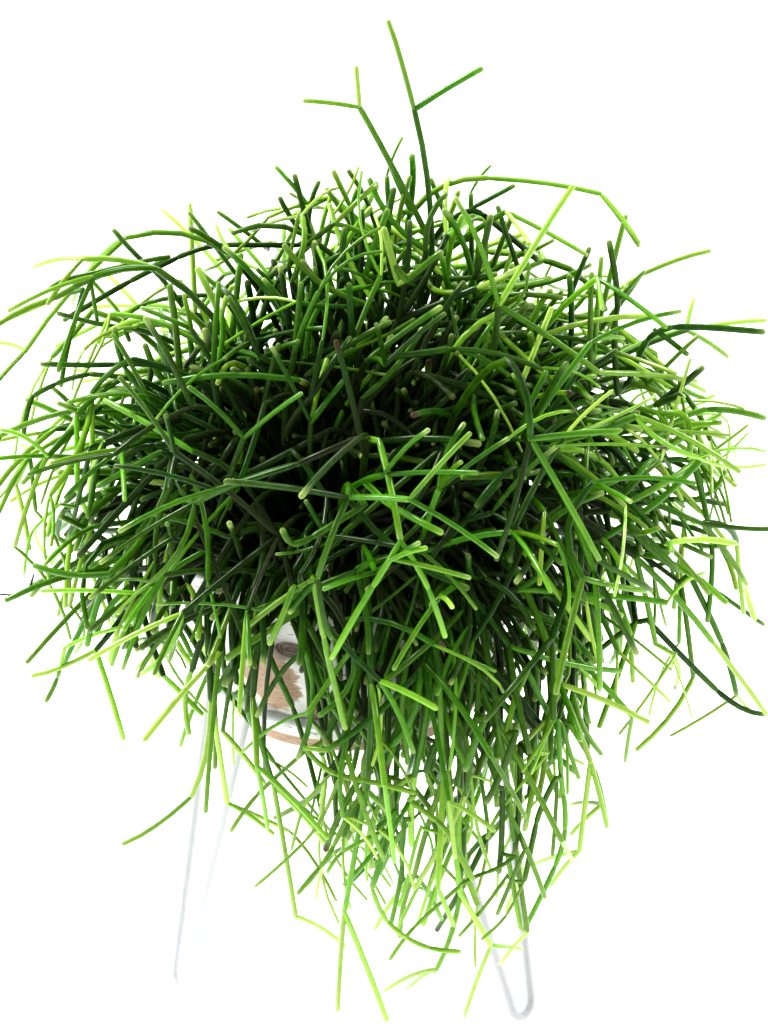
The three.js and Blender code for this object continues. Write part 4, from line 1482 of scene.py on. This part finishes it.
def stem_finish(settings):
    """Waxy green skin, dark on old stems and lime on new ones, with pale dots and tips. The age
    attribute that picks the green also holds painted light and shade.
    """
    material, graph, shader, place = new_material("Stem skin")
    age = graph.attribute("age")
    tone = graph.attribute("tone")
    tip = graph.attribute("tip")
    mottle = graph.noise(place, scale=260, detail=4, roughness=0.6)
    broad = graph.noise(place, scale=38, detail=2)
    ripeness_and_shading = graph.clamp(age + (mottle - 0.5) * 0.24 + (broad - 0.5) * 0.2)
    stops = [
        (0.0, settings.woody_colour),
        (0.16, settings.old_colour),
        (0.45, settings.mature_colour),
        (0.72, settings.young_colour),
        (1.0, settings.new_colour),
    ]
    green = graph.add("ShaderNodeValToRGB", {"stops": stops}, {"Fac": ripeness_and_shading})
    inputs = {"Hue": 0.483 + tone * 0.02, "Value": 0.7 + tone * 0.6, "Color": green}
    bright = graph.add("ShaderNodeHueSaturation", None, inputs)
    bloom = graph.step(mottle, 0.56, 0.78) * (1 - graph.step(age, 0.25, 0.6))
    waxy = graph.blend(bloom * 0.2, bright, settings.bloom_colour)
    pale = graph.blend(graph.step(tip, 0.3, 1.0) * 0.6, waxy, settings.tip_colour)
    dry = graph.blend(graph.step(0 - tip, 0.45, 0.95), pale, settings.dry_colour)
    inputs = {
        "Base Color": dry,
        "Roughness": settings.roughness + (mottle - 0.5) * 0.16 + bloom * 0.12,
        "Specular IOR Level": 0.1,
        "Coat Weight": graph.clamp(0.06 + age * 0.8),
        "Coat Roughness": 0.18,
    }
    finish_material(graph, shader, inputs, mottle, strength=0.25, distance=0.0003)
    return material


def wire_finish(settings):
    """White powder coat with a fine orange peel, darker in patches near the floor."""
    material, graph, shader, place = new_material("White powder coat")
    peel = graph.noise(place, scale=900, detail=2)
    stain = graph.noise(place, scale=30, detail=3)
    up = graph.add("ShaderNodeSeparateXYZ", None, {0: place}, output="Z")
    # The coat is darker in noisy patches within about 12 mm of the floor.
    foot = (1 - graph.step(up, 0.0, 0.012)) * graph.step(stain, 0.45, 0.65)
    coat = graph.blend(stain, settings.coat_colour, settings.shade_colour)
    low_patched = graph.blend(foot * 0.5, coat, settings.low_patch_colour)
    inputs = {"Base Color": low_patched, "Roughness": 0.32 + stain * 0.12}
    finish_material(graph, shader, inputs, peel, strength=0.15, distance=0.0002)
    return material


def soil_finish(settings):
    """Dark clods, drier and paler on top of them, with fibres among them."""
    material, graph, shader, place = new_material("Potting soil")
    clods = graph.noise(place, scale=130, detail=6, roughness=0.65)
    fibres = graph.grain(place, scales=(900, 240, 300), detail=3)
    earth = graph.blend(graph.step(clods, 0.35, 0.7), settings.dark_colour, settings.light_colour)
    fibrous = graph.blend(graph.step(fibres, 0.62, 0.74) * 0.5, earth, settings.fibre_colour)
    inputs = {"Base Color": fibrous, "Roughness": 0.9}
    finish_material(graph, shader, inputs, clods, strength=0.8, distance=0.002)
    return material


def bark_finish(settings):
    """White papery bark with dark dashes, tan where it has peeled, and brown knots."""
    material, graph, shader, place = new_material("Birch bark")
    peel = graph.attribute("peel")
    knot = graph.attribute("knot")
    grain = graph.grain(place, scales=(90, 90, 700), detail=5, roughness=0.6)
    fine = graph.grain(place, scales=(260, 260, 1400), detail=3, roughness=0.6)
    cloud = graph.noise(place, scale=24, detail=4)
    dashes = graph.grain(place, scales=(130, 130, 620), detail=1, roughness=0.4)
    sparse = graph.noise(place, scale=60, detail=2)
    dash = graph.step(dashes, 0.66, 0.7) * graph.step(sparse, 0.42, 0.56)
    edge = peel + (grain - 0.5) * 0.35
    bare = graph.step(edge, 0.44, 0.56)
    rim = graph.step(edge, 0.3, 0.45) * (1 - graph.step(edge, 0.47, 0.6))
    paper = graph.blend(cloud, settings.paper_colour, settings.grey_colour)
    paper = graph.blend(graph.step(grain, 0.5, 0.75) * 0.35, paper, settings.shade_colour)
    paper = graph.blend(dash * 0.85, paper, settings.dash_colour)
    under = graph.blend(graph.step(fine, 0.3, 0.7), settings.tan_colour, settings.pink_colour)
    under = graph.blend(graph.step(grain, 0.55, 0.8) * 0.4, under, settings.light_tan_colour)
    bark = graph.blend(bare, paper, under)
    bark = graph.blend(rim * 0.5, bark, settings.paper_colour)
    ring = graph.math("SINE", (knot + (grain - 0.5) * 0.12) * 34.0) * 0.5 + 0.5
    eye = graph.step(knot + (fine - 0.5) * 0.1, 0.42, 0.62)
    halo = graph.step(knot + (grain - 0.5) * 0.4, 0.12, 0.4)
    bark = graph.blend(halo * 0.55, bark, settings.halo_colour)
    wood = graph.blend(ring, settings.knot_colour, settings.dark_knot_colour)
    bark = graph.blend(eye, bark, wood)
    height = grain * 0.5 + fine * 0.3 - dash * 0.6 - eye * 0.5
    inputs = {"Base Color": bark, "Roughness": 0.5 + bare * 0.2 + cloud * 0.15}
    finish_material(graph, shader, inputs, height, strength=0.5, distance=0.0008)
    return material


def floor_finish(stage):
    """White card that is lit through from below, as a light table is."""
    material, graph, shader, place = new_material("Pale floor")
    cloud = graph.noise(place, scale=0.8, detail=2)
    colour = graph.blend(cloud, (0.9, 0.9, 0.9), (0.94, 0.94, 0.94))
    inputs = {
        "Base Color": colour,
        "Roughness": 0.8,
        "Emission Color": (1, 1, 1, 1),
        "Emission Strength": stage.floor_glow,
    }
    finish_material(graph, shader, inputs)
    return material


# ---------------- settings


def a_number(name, description, default, **options):
    return bpy.props.FloatProperty(name=name, description=description, default=default, **options)


def a_count(name, description, default, **options):
    return bpy.props.IntProperty(name=name, description=description, default=default, **options)


def a_length(name, description, default):
    return a_number(name, description, default, unit="LENGTH", subtype="DISTANCE")


def an_angle(name, description, default):
    return a_number(name, description, default, subtype="ANGLE")


def a_colour(name, description, default):
    return bpy.props.FloatVectorProperty(
        name=name, description=description, default=default, size=3, subtype="COLOR", min=0, max=1
    )


class StemSettings(bpy.types.PropertyGroup):
    sides: a_count("Sides", "Faces round a stem", 8, min=5, max=12)
    fill_sides: a_count("Sides between", "Faces round a stem between the sprays", 6, min=5)
    roughness: a_number("Roughness", "How dull the waxy skin is", 0.3, min=0, max=1)
    woody_colour: a_colour("Woody", "Stems near the soil", (0.02, 0.03, 0.008))
    old_colour: a_colour("Old", "Old stems", (0.0095, 0.05, 0.001))
    mature_colour: a_colour("Mature", "Grown stems", (0.053, 0.19, 0.002))
    young_colour: a_colour("Young", "Young stems", (0.185, 0.42, 0.02))
    new_colour: a_colour("New", "New growth", (0.37, 0.62, 0.075))
    bloom_colour: a_colour("Bloom", "Grey wax on old skin", (0.12, 0.22, 0.05))
    tip_colour: a_colour("Tip", "Fresh tips", (0.42, 0.55, 0.16))
    dry_colour: a_colour("Dry", "Dry tips", (0.05, 0.032, 0.012))


class PotSettings(bpy.types.PropertyGroup):
    around: a_count("Faces round", "Faces round the pot", 240, min=24)
    rows: a_count("Rows", "Rows up its outside", 84, min=8)
    peel_depth: a_length("Peel", "How deep peeled patches lie", 0.0005)
    curl: a_length("Curl", "How far a patch's edge stands up", 0.0006)
    paper_colour: a_colour("Paper", "White bark", (0.9, 0.9, 0.88))
    grey_colour: a_colour("Grey", "Greyer bark", (0.74, 0.74, 0.74))
    shade_colour: a_colour("Shade", "Grain in white bark", (0.45, 0.43, 0.42))
    dash_colour: a_colour("Dash", "Dark dashes", (0.04, 0.035, 0.035))
    tan_colour: a_colour("Tan", "Peeled bark", (0.38, 0.25, 0.17))
    pink_colour: a_colour("Pink", "Paler peeled bark", (0.55, 0.38, 0.29))
    light_tan_colour: a_colour("Light tan", "Streaks in it", (0.66, 0.52, 0.42))
    halo_colour: a_colour("Halo", "Round a knot", (0.3, 0.27, 0.25))
    knot_colour: a_colour("Knot", "Knots", (0.2, 0.13, 0.09))
    dark_knot_colour: a_colour("Dark knot", "Lines in knots", (0.05, 0.035, 0.03))


class SoilSettings(bpy.types.PropertyGroup):
    crumbs: a_number("Crumbs", "Crumbs on a square metre", 90000, min=0)
    crumb_size: a_length("Crumb size", "Radius of a crumb", 0.0011)
    seed: a_count("Seed", "Seed of the crumbs", 7)
    dark_colour: a_colour("Dark", "Damp soil", (0.012, 0.009, 0.007))
    light_colour: a_colour("Light", "Dry soil", (0.06, 0.045, 0.034))
    fibre_colour: a_colour("Fibre", "Fibres in the soil", (0.12, 0.085, 0.055))


class StandSettings(bpy.types.PropertyGroup):
    sides: a_count("Sides", "Faces round a rod", 16, min=6)
    weld: a_length("Weld", "Radius of a weld bead", 0.0034)
    coat_colour: a_colour("Coat", "White coat", (0.56, 0.57, 0.59))
    shade_colour: a_colour("Shade", "Slightly darker coat", (0.48, 0.49, 0.52))
    # The colour blended into the coat in patches near the floor.
    low_patch_colour: a_colour("Low patches", "Darker coat in patches near the floor", (0.4, 0.4, 0.4))


class StageSettings(bpy.types.PropertyGroup):
    camera_place: bpy.props.FloatVectorProperty(
        name="Camera",
        description="Where the camera stands",
        default=(0, -0.917, 0.612),
        subtype="TRANSLATION",
    )
    pitch: an_angle("Pitch", "How far it looks down", 0.3748)
    yaw: an_angle("Yaw", "How far it looks to the right", 0.0189)
    roll: an_angle("Roll", "How far it is turned", -0.031)
    lens: a_number("Lens", "Focal length", 70.3125, subtype="DISTANCE_CAMERA")
    floor_size: a_length("Floor", "Side of the floor", 180.0)
    floor_glow: a_number("Floor glow", "Light that comes up through the floor", 0.7)
    sky: a_number("Sky", "Strength of the white surroundings", 0.55)
    key: a_number("Key", "Power of the light above, in watts", 43.0)
    fill: a_number("Fill", "Power of each side light, in watts", 14.0)
    back: a_number("Back", "Power of the back light, in watts", 8.0)


class CactusSettings(bpy.types.PropertyGroup):
    stems: bpy.props.PointerProperty(type=StemSettings)
    pot: bpy.props.PointerProperty(type=PotSettings)
    soil: bpy.props.PointerProperty(type=SoilSettings)
    stand: bpy.props.PointerProperty(type=StandSettings)
    stage: bpy.props.PointerProperty(type=StageSettings)


# ---------------- the pot, soil and stand


def grid_mesh(name, rows, close_ends=True):
    """A mesh of rings of points, joined in order. Rows run up the outside, so faces point out."""
    count = len(rows[0])
    points = np.concatenate(rows)
    faces = []
    for r in range(len(rows) - 1):
        for c in range(count):
            d = (c + 1) % count
            low, high = r * count, (r + 1) * count
            faces.append((low + c, low + d, high + d, high + c))
    if close_ends:
        faces.append(tuple(range(count - 1, -1, -1)))
        last = (len(rows) - 1) * count
        faces.append(tuple(range(last, last + count)))
    mesh = bpy.data.meshes.new(name)
    mesh.from_pydata(points.tolist(), [], faces)
    mesh.update()
    return mesh


def ring_of(radius, z, angles):
    level = np.broadcast_to(z, angles.shape)
    return np.stack([radius * np.cos(angles), radius * np.sin(angles), level], axis=1)


def round_angles(count):
    return np.linspace(0, 2 * math.pi, count, endpoint=False)


def shape_mesh(mesh, points):
    """Moves a mesh's points to these, given in millimetres, and makes its faces smooth."""
    mesh.vertices.foreach_set("co", (points * MM).astype(np.float32).ravel())
    mesh.polygons.foreach_set("use_smooth", [True] * len(mesh.polygons))
    mesh.update()


def fractal(points, scale, octaves):
    roughness, lacunarity = 0.6, 2.0
    values = [noise.fractal(Vector(p) * scale, roughness, lacunarity, octaves) for p in points]
    return np.array(values)


# The pot's foot and lip: how far in from the radius of its base or rim, and how far up from its
# base or down from its rim. The hub closes its floor, as a share of the base's radius.
FOOT = ((6, 1), (4, 0), (1.2, 0))
LIP = ((0.9, 0.3), (1.8, 0), (3.4, 0), (4.4, 0.5), (4.9, 1.6))
HUB = 0.2
# How far below the rim the inner wall starts under its lip, and its rows down to the floor.
INSIDE = {"below": 6, "rows": 12}
# Peeled patches and knots: the azimuth of the middle in degrees, its height, half width and half
# height in millimetres. These are at the front, and the rest are placed by rule.
SET_PATCHES = [(-124, 196, 17, 22), (-102, 176, 8, 12), (-168, 200, 20, 30), (-8, 205, 20, 26)]
SET_KNOTS = [(-111, 214, 9, 5), (-82, 205, 12, 9)]
RULED_PATCHES = {"seed": 311, "count": 13, "first": -60, "wide": (12, 30), "tall": (9, 24)}
RULED_KNOTS = {"seed": 517, "count": 8, "first": -40, "wide": (6, 11), "tall": (4, 8)}
FRONT = {"from": -150, "to": -60}
MARK_HEIGHTS = (POT["base_z"] + 14, POT_TOP - 12)
# Bark is peeled where its value is past the edge, curls up at the lip of that, is bare in a band
# at the base, and white in the band above. Depths are in millimetres. `rough` and `warped` are
# the scale and octaves of a noise, of which the first is squashed from top to bottom.
PEEL = {
    "squashed": (1, 1, 2.4), "rough": (0.045, 4), "ragged": 0.22, "edge": 0.44, "soft": 0.12,
    "lip": 0.42, "lip_width": 0.05, "band": 7, "bare": 0.9, "white": 0.2, "warp": 0.5,
    "warped": (0.02, 2), "knot_from": 0.45, "knot_depth": 0.9,
}


def pot_profile(rows):
    """The pot's outline from the hub of its underside out, up, over the lip and in to the hub."""
    base = POT["base_radius"]
    low = POT["base_z"]
    floor = low + POT["floor"]
    profile = [(base * HUB, low + FOOT[0][1])]
    profile += [(base - inward, low + up) for inward, up in FOOT]
    heights = np.linspace(low + FOOT[-1][0], POT_TOP - LIP[-1][1], rows)
    profile += [(outer_radius(z), z) for z in heights]
    profile += [(POT["rim_radius"] - inward, POT_TOP - down) for inward, down in LIP]
    heights = np.linspace(POT_TOP - INSIDE["below"], floor, INSIDE["rows"])
    profile += [(inner_radius(z), z) for z in heights]
    return profile + [(base * HUB, floor)]


def marks_by_rule(rule):
    """Patches or knots spread round the rest of the pot."""
    rand = Seeded(rule["seed"])
    marks = []
    for i in range(rule["count"]):
        azimuth = (rule["first"] + 360 * ((i * 0.618) % 1) + 180) % 360 - 180
        height = mix(*MARK_HEIGHTS, rand())
        wide = mix(*rule["wide"], rand())
        tall = mix(*rule["tall"], rand())
        if not FRONT["from"] < azimuth < FRONT["to"]:
            marks.append((azimuth, height, wide, tall))
    return marks


def nearness(marks, azimuths, heights, radii):
    """1 in the middle of a mark, 0.5 on its edge and less outside."""
    best = np.zeros(len(azimuths))
    for azimuth, height, wide, tall in marks:
        turn = (azimuths - azimuth + 180) % 360 - 180
        across = np.radians(turn) * radii / wide
        away = np.sqrt(across**2 + ((heights - height) / tall) ** 2)
        best = np.maximum(best, 1 / (1 + away**3))
    return best


def make_pot(settings):
    angles = round_angles(settings.around)
    profile = pot_profile(settings.rows)
    rings = [ring_of(radius, z, angles) for radius, z in profile]
    mesh = grid_mesh("birch_pot", rings)
    points = np.concatenate(rings)
    radii = np.repeat([radius for radius, _ in profile], settings.around)
    levels = np.repeat([z for _, z in profile], settings.around)
    azimuths = np.degrees(np.tile(angles, len(profile)))
    row = np.repeat(np.arange(len(profile)), settings.around)
    outside = (row > len(FOOT)) & (row <= len(FOOT) + settings.rows)
    rough = fractal(points * PEEL["squashed"], *PEEL["rough"])
    peel = nearness(SET_PATCHES + marks_by_rule(RULED_PATCHES), azimuths, levels, radii)
    peel += PEEL["ragged"] * rough
    knot = nearness(SET_KNOTS + marks_by_rule(RULED_KNOTS), azimuths, levels, radii)
    up = (levels - POT["base_z"]) / PEEL["band"]
    peel = np.where(up < 2, np.minimum(peel, PEEL["white"]), peel)
    peel = np.where(up < 1, PEEL["bare"], peel)
    bare = np.clip((peel - PEEL["edge"]) / PEEL["soft"], 0, 1)
    bare = bare * bare * (3 - 2 * bare)
    lip = np.exp(-(((peel - PEEL["lip"]) / PEEL["lip_width"]) ** 2))
    push = -settings.peel_depth / MM * bare + settings.curl / MM * lip * (0.5 + rough)
    push += PEEL["warp"] * fractal(points, *PEEL["warped"])
    push -= PEEL["knot_depth"] * np.clip((knot - PEEL["knot_from"]) * 4, 0, 1)
    scale = 1 + np.where(outside, push, 0) / np.maximum(radii, 1)
    shape_mesh(mesh, points * np.stack([scale, scale, np.ones(len(scale))], axis=1))
    marks = {"peel": np.where(outside, peel, PEEL["white"]), "knot": np.where(outside, knot, 0)}
    for name, values in marks.items():
        layer = mesh.attributes.new(name, "FLOAT", "POINT")
        layer.data.foreach_set("value", values.astype(np.float32))
    mesh.materials.append(bark_finish(settings))
    return link_object("birch_pot", mesh)


AROUND = 120
# Lumps on the soil: their height in millimetres, scale and octaves.
LUMPS = ((2.4, 0.09, 4), (0.9, 0.4, 2))
# The rows of the soil: its hub's radius, how far up from the pot's floor and down from the soil's
# top its side runs, how far down its edge is, and over which shares of its radius its top runs.
SOIL_ROWS = {
    "hub": 2, "side": (15, 3), "side_rows": 4, "edge": 1, "shares": (0.985, 0.03), "top_rows": 40,
}
# Crumbs lie on what faces up, near the soil's top. Each is turned and stretched at random.
CRUMBS = {
    "upward": 0.4, "below": 8, "turn": (6.28, 6.28, 6.28), "turn_seed": 3,
    "least": (0.4, 0.4, 0.3), "most": (1.7, 1.5, 1.2), "stretch_seed": 5,
}


def soil_rows(angles):
    """Rings from the middle of the soil's underside up its side, and rings in over its top."""
    bottom = POT["base_z"] + POT["floor"] + GAP
    wall = inner_radius(SOIL_TOP) - GAP
    side = [ring_of(SOIL_ROWS["hub"], bottom, angles)]
    up, down = SOIL_ROWS["side"]
    for z in (bottom, *np.linspace(bottom + up, SOIL_TOP - down, SOIL_ROWS["side_rows"])):
        side.append(ring_of(inner_radius(z) - GAP, z, angles))
    side.append(ring_of(wall, SOIL_TOP - SOIL_ROWS["edge"], angles))
    top = []
    for share in np.linspace(*SOIL_ROWS["shares"], SOIL_ROWS["top_rows"]):
        top.append(ring_of(wall * share, SOIL_TOP + SOIL["crown"] * (1 - share**2), angles))
    return side, top


def make_soil():
    side, top = soil_rows(round_angles(AROUND))
    mesh = grid_mesh("potting_soil", side + top)
    points = np.concatenate(side + top)
    lumps = sum(height * fractal(points, scale, octaves) for height, scale, octaves in LUMPS)
    on_top = slice(len(side) * AROUND, None)
    points[on_top, 2] += lumps[on_top]
    shape_mesh(mesh, points)
    return link_object("potting_soil", mesh)


def crumb_nodes():
    """Geometry nodes that strew crumbs over the top of a mesh."""
    inputs = [("Density", "Float"), ("Size", "Float"), ("Seed", "Int")]
    graph, (ground, density, size, seed, material) = start_geometry("Soil crumbs", inputs)
    facing = graph.add("GeometryNodeInputNormal")
    upward = graph.add("ShaderNodeSeparateXYZ", None, {0: facing}, output="Z")
    place = graph.add("GeometryNodeInputPosition")
    level = graph.add("ShaderNodeSeparateXYZ", None, {0: place}, output="Z")
    on_top = (upward > CRUMBS["upward"]) * (level > (SOIL_TOP - CRUMBS["below"]) * MM)
    inputs = {"Mesh": ground, "Selection": on_top, "Density": density, "Seed": seed}
    points = graph.add("GeometryNodeDistributePointsOnFaces", None, inputs, output="Points")
    crumb = graph.add("GeometryNodeMeshIcoSphere", None, {"Radius": size, "Subdivisions": 1})
    vector = {"data_type": "FLOAT_VECTOR"}
    bounds = {0: (0, 0, 0), 1: CRUMBS["turn"], "Seed": CRUMBS["turn_seed"]}
    turn = graph.add("FunctionNodeRandomValue", vector, bounds)
    bounds = {0: CRUMBS["least"], 1: CRUMBS["most"], "Seed": CRUMBS["stretch_seed"]}
    stretch = graph.add("FunctionNodeRandomValue", vector, bounds)
    inputs = {"Points": points, "Instance": crumb, "Rotation": turn, "Scale": stretch}
    crumbs = graph.add("GeometryNodeInstanceOnPoints", None, inputs)
    return finish_geometry(graph, crumbs, material)


FINE_LEG = {"straights": 8, "bends": 20}
# Metres. Weld beads sit a little below the ring's middle, and noise makes them lumpy.
WELDS = {"below": 0.0012, "lump_scale": 900, "lump": 0.12}


def press_flat(mesh):
    """Presses what lies under the floor up to it."""
    points = np.zeros(len(mesh.vertices) * 3, np.float32)
    mesh.vertices.foreach_get("co", points)
    points[2::3] = np.maximum(points[2::3], 0)
    mesh.vertices.foreach_set("co", points)
    mesh.update()


def ring_mesh(sides):
    rows = []
    for turn in round_angles(sides):
        radius = RING_RADIUS + WIRE_RADIUS * math.cos(turn)
        z = RING_Z + WIRE_RADIUS * math.sin(turn)
        rows.append(ring_of(radius, z, round_angles(AROUND)) * MM)
    rows.append(rows[0])
    mesh = grid_mesh("wire_ring", rows, close_ends=False)
    ring = bmesh.new()
    ring.from_mesh(mesh)
    bmesh.ops.remove_doubles(ring, verts=ring.verts, dist=1e-6)
    bmesh.ops.recalc_face_normals(ring, faces=ring.faces)
    return to_smooth_mesh(ring, mesh)


def bead_mesh(size):
    """A lumpy bead of weld where each rod meets the ring."""
    beads = bmesh.new()
    for index in range(LEG["count"]):
        leg = leg_line(index)
        for end in (leg[0], leg[-1]):
            middle = Vector(end * MM) - Vector((0, 0, WELDS["below"]))
            place = Matrix.Translation(middle)
            made = bmesh.ops.create_icosphere(beads, subdivisions=3, radius=size, matrix=place)
            for vert in made["verts"]:
                lump = noise.noise(vert.co * WELDS["lump_scale"]) * WELDS["lump"]
                vert.co = middle + (vert.co - middle) * (1 + lump)
    return to_smooth_mesh(beads, bpy.data.meshes.new("weld_beads"))


def to_smooth_mesh(draft, mesh):
    for face in draft.faces:
        face.smooth = True
    draft.to_mesh(mesh)
    draft.free()
    return mesh


# ---------------- operators


# Where each softbox stands, how wide it is and which setting is its power. All face one point.
SOFTBOXES = {
    "overhead_softbox": ((-0.7, 0.35, 1.8), 0.45, "key"),
    "right_softbox": ((1.4, 0.1, 1.2), 0.4, "fill"),
    "left_softbox": ((-1.4, 0.2, 0.9), 0.5, "fill"),
    "back_softbox": ((0.15, 1.5, 1.15), 0.9, "back"),
}
LIT_POINT = Vector((0, 0, 0.3))
SENSOR_WIDTH = 36
FURTHEST_SEEN = 200


def settings_of(context):
    return context.scene.cactus


class BuildStage(bpy.types.Operator):
    """Sets up the floor, the lights and the camera"""

    bl_idname = "cactus.build_stage"
    bl_label = "Build Stage"

    def execute(self, context):
        stage = settings_of(context).stage
        half = stage.floor_size / 2
        corners = [(-half, -half, 0), (half, -half, 0), (half, half, 0), (-half, half, 0)]
        mesh = bpy.data.meshes.new("pale_floor")
        mesh.from_pydata(corners, [], [(0, 1, 2, 3)])
        mesh.materials.append(floor_finish(stage))
        link_object("pale_floor", mesh)
        self.set_world(context, stage)
        for name, (place, size, setting) in SOFTBOXES.items():
            self.add_light(name, Vector(place), size, getattr(stage, setting))
        self.add_camera(context, stage)
        context.scene.view_settings.view_transform = "Standard"
        context.scene.view_settings.look = "Medium High Contrast"
        return {"FINISHED"}

    @staticmethod
    def set_world(context, stage):
        world = bpy.data.worlds.new("White room")
        world.use_nodes = True
        sky = world.node_tree.nodes["Background"]
        sky.inputs["Color"].default_value = (1, 1, 1, 1)
        sky.inputs["Strength"].default_value = stage.sky
        context.scene.world = world

    @staticmethod
    def add_light(name, place, size, power):
        light = bpy.data.lights.new(name, "AREA")
        light.shape = "DISK"
        light.size = size
        light.energy = power
        lamp = link_object(name, light)
        lamp.location = place
        lamp.rotation_euler = (LIT_POINT - place).to_track_quat("-Z", "Y").to_euler()

    @staticmethod
    def add_camera(context, stage):
        lens = bpy.data.cameras.new("camera")
        lens.lens = stage.lens
        lens.sensor_width = SENSOR_WIDTH
        lens.clip_end = FURTHEST_SEEN
        camera = link_object("camera", lens)
        cos_roll, sin_roll = math.cos(stage.roll), math.sin(stage.roll)
        cos_pitch, sin_pitch = math.cos(stage.pitch), math.sin(stage.pitch)
        cos_yaw, sin_yaw = math.cos(stage.yaw), math.sin(stage.yaw)
        level = Vector((cos_yaw, -sin_yaw, 0))
        top = Vector((sin_yaw * sin_pitch, cos_yaw * sin_pitch, cos_pitch))
        back = Vector((-sin_yaw * cos_pitch, -cos_yaw * cos_pitch, sin_pitch))
        right = level * cos_roll + top * sin_roll
        up = top * cos_roll - level * sin_roll
        turn = Matrix((right, up, back)).transposed().to_4x4()
        camera.matrix_world = Matrix.Translation(stage.camera_place) @ turn
        context.scene.camera = camera


class BuildPot(bpy.types.Operator):
    """Turns the pot and gives it peeling birch bark"""

    bl_idname = "cactus.build_pot"
    bl_label = "Build Pot"

    def execute(self, context):
        place_piece(make_pot(settings_of(context).pot), "pot_bark", "pot")
        return {"FINISHED"}


class BuildSoil(bpy.types.Operator):
    """Heaps the soil and strews crumbs on it"""

    bl_idname = "cactus.build_soil"
    bl_label = "Build Soil"

    def execute(self, context):
        settings = settings_of(context).soil
        finish = soil_finish(settings)
        soil = make_soil()
        soil.data.materials.append(finish)
        values = {
            "Density": settings.crumbs,
            "Size": settings.crumb_size,
            "Seed": settings.seed,
            "Material": finish,
        }
        crumbs = bake_nodes("soil_crumbs", soil.data.copy(), crumb_nodes(), values)
        place_piece(soil, "potting_soil", "soil")
        place_piece(crumbs, "potting_soil")
        return {"FINISHED"}


class BuildStand(bpy.types.Operator):
    """Bends the wire ring and the three hairpin legs, and welds them together"""

    bl_idname = "cactus.build_stand"
    bl_label = "Build Stand"

    def execute(self, context):
        settings = settings_of(context).stand
        finish = wire_finish(settings)
        tubes = tube_nodes()
        for index in range(LEG["count"]):
            lines = Lines()
            lines.add(leg_line(index, **FINE_LEG) * MM, radius=WIRE_RADIUS * MM)
            leg = lines.to_tubes(f"wire_leg_{index + 1}", tubes, settings.sides, finish)
            press_flat(leg.data)
            place_piece(leg, "white_wire", f"stand_leg_{index + 1}")
        ring = link_object("wire_ring", ring_mesh(settings.sides))
        ring.data.materials.append(finish)
        place_piece(ring, "white_wire", "stand_ring")
        beads = link_object("weld_beads", bead_mesh(settings.weld))
        beads.data.materials.append(finish)
        place_piece(beads, "white_wire")
        return {"FINISHED"}


class GrowStems(bpy.types.Operator):
    """Grows the sprays of the frame and the stems between them"""

    bl_idname = "cactus.grow_stems"
    bl_label = "Grow Stems"

    def execute(self, context):
        settings = settings_of(context).stems
        finish = stem_finish(settings)
        tubes = tube_nodes()
        plant = Plant()
        accents = Accents(plant.thicket)
        for spray in plant.sprays:
            lines = spray_lines(spray)
            piece = lines.to_tubes("stems_" + spray.name, tubes, settings.sides, finish)
            place_piece(piece, "young_stem" if spray.young else "mature_stem", spray.name)
        for group in Undergrowth(plant).groups:
            lines = spray_lines(group, "looks_between")
            name = f"undergrowth_{group.number}"
            piece = lines.to_tubes(name, tubes, settings.fill_sides, finish)
            place_piece(piece, "mature_stem")
        lines = Lines()
        for stem, looks in accents.stems():
            lines.add_stem(stem, *looks)
        piece = lines.to_tubes("accent_stems", tubes, settings.sides, finish)
        place_piece(piece, "young_stem")
        return {"FINISHED"}


class CactusPanel(bpy.types.Panel):
    """Lists the steps and their settings"""

    bl_idname = "VIEW3D_PT_cactus"
    bl_label = "Potted Mistletoe Cactus"
    bl_space_type = "VIEW_3D"
    bl_region_type = "UI"
    bl_category = "Cactus"

    def draw(self, context):
        settings = settings_of(context)
        for operator, name in STEPS:
            box = self.layout.box()
            box.operator(operator.bl_idname)
            group = getattr(settings, name)
            for key in group.__annotations__:
                box.prop(group, key)


STEPS = (
    (BuildStage, "stage"),
    (BuildPot, "pot"),
    (BuildSoil, "soil"),
    (BuildStand, "stand"),
    (GrowStems, "stems"),
)
CLASSES = (
    StemSettings,
    PotSettings,
    SoilSettings,
    StandSettings,
    StageSettings,
    CactusSettings,
    BuildStage,
    BuildPot,
    BuildSoil,
    BuildStand,
    GrowStems,
    CactusPanel,
)


def register():
    for cls in CLASSES:
        bpy.utils.register_class(cls)
    bpy.types.Scene.cactus = bpy.props.PointerProperty(type=CactusSettings)


def unregister():
    del bpy.types.Scene.cactus
    for cls in reversed(CLASSES):
        bpy.utils.unregister_class(cls)


def main():
    register()
    bpy.ops.cactus.build_stage()
    bpy.ops.cactus.build_pot()
    bpy.ops.cactus.build_soil()
    bpy.ops.cactus.build_stand()
    bpy.ops.cactus.grow_stems()


if __name__ == "__main__":
    main()
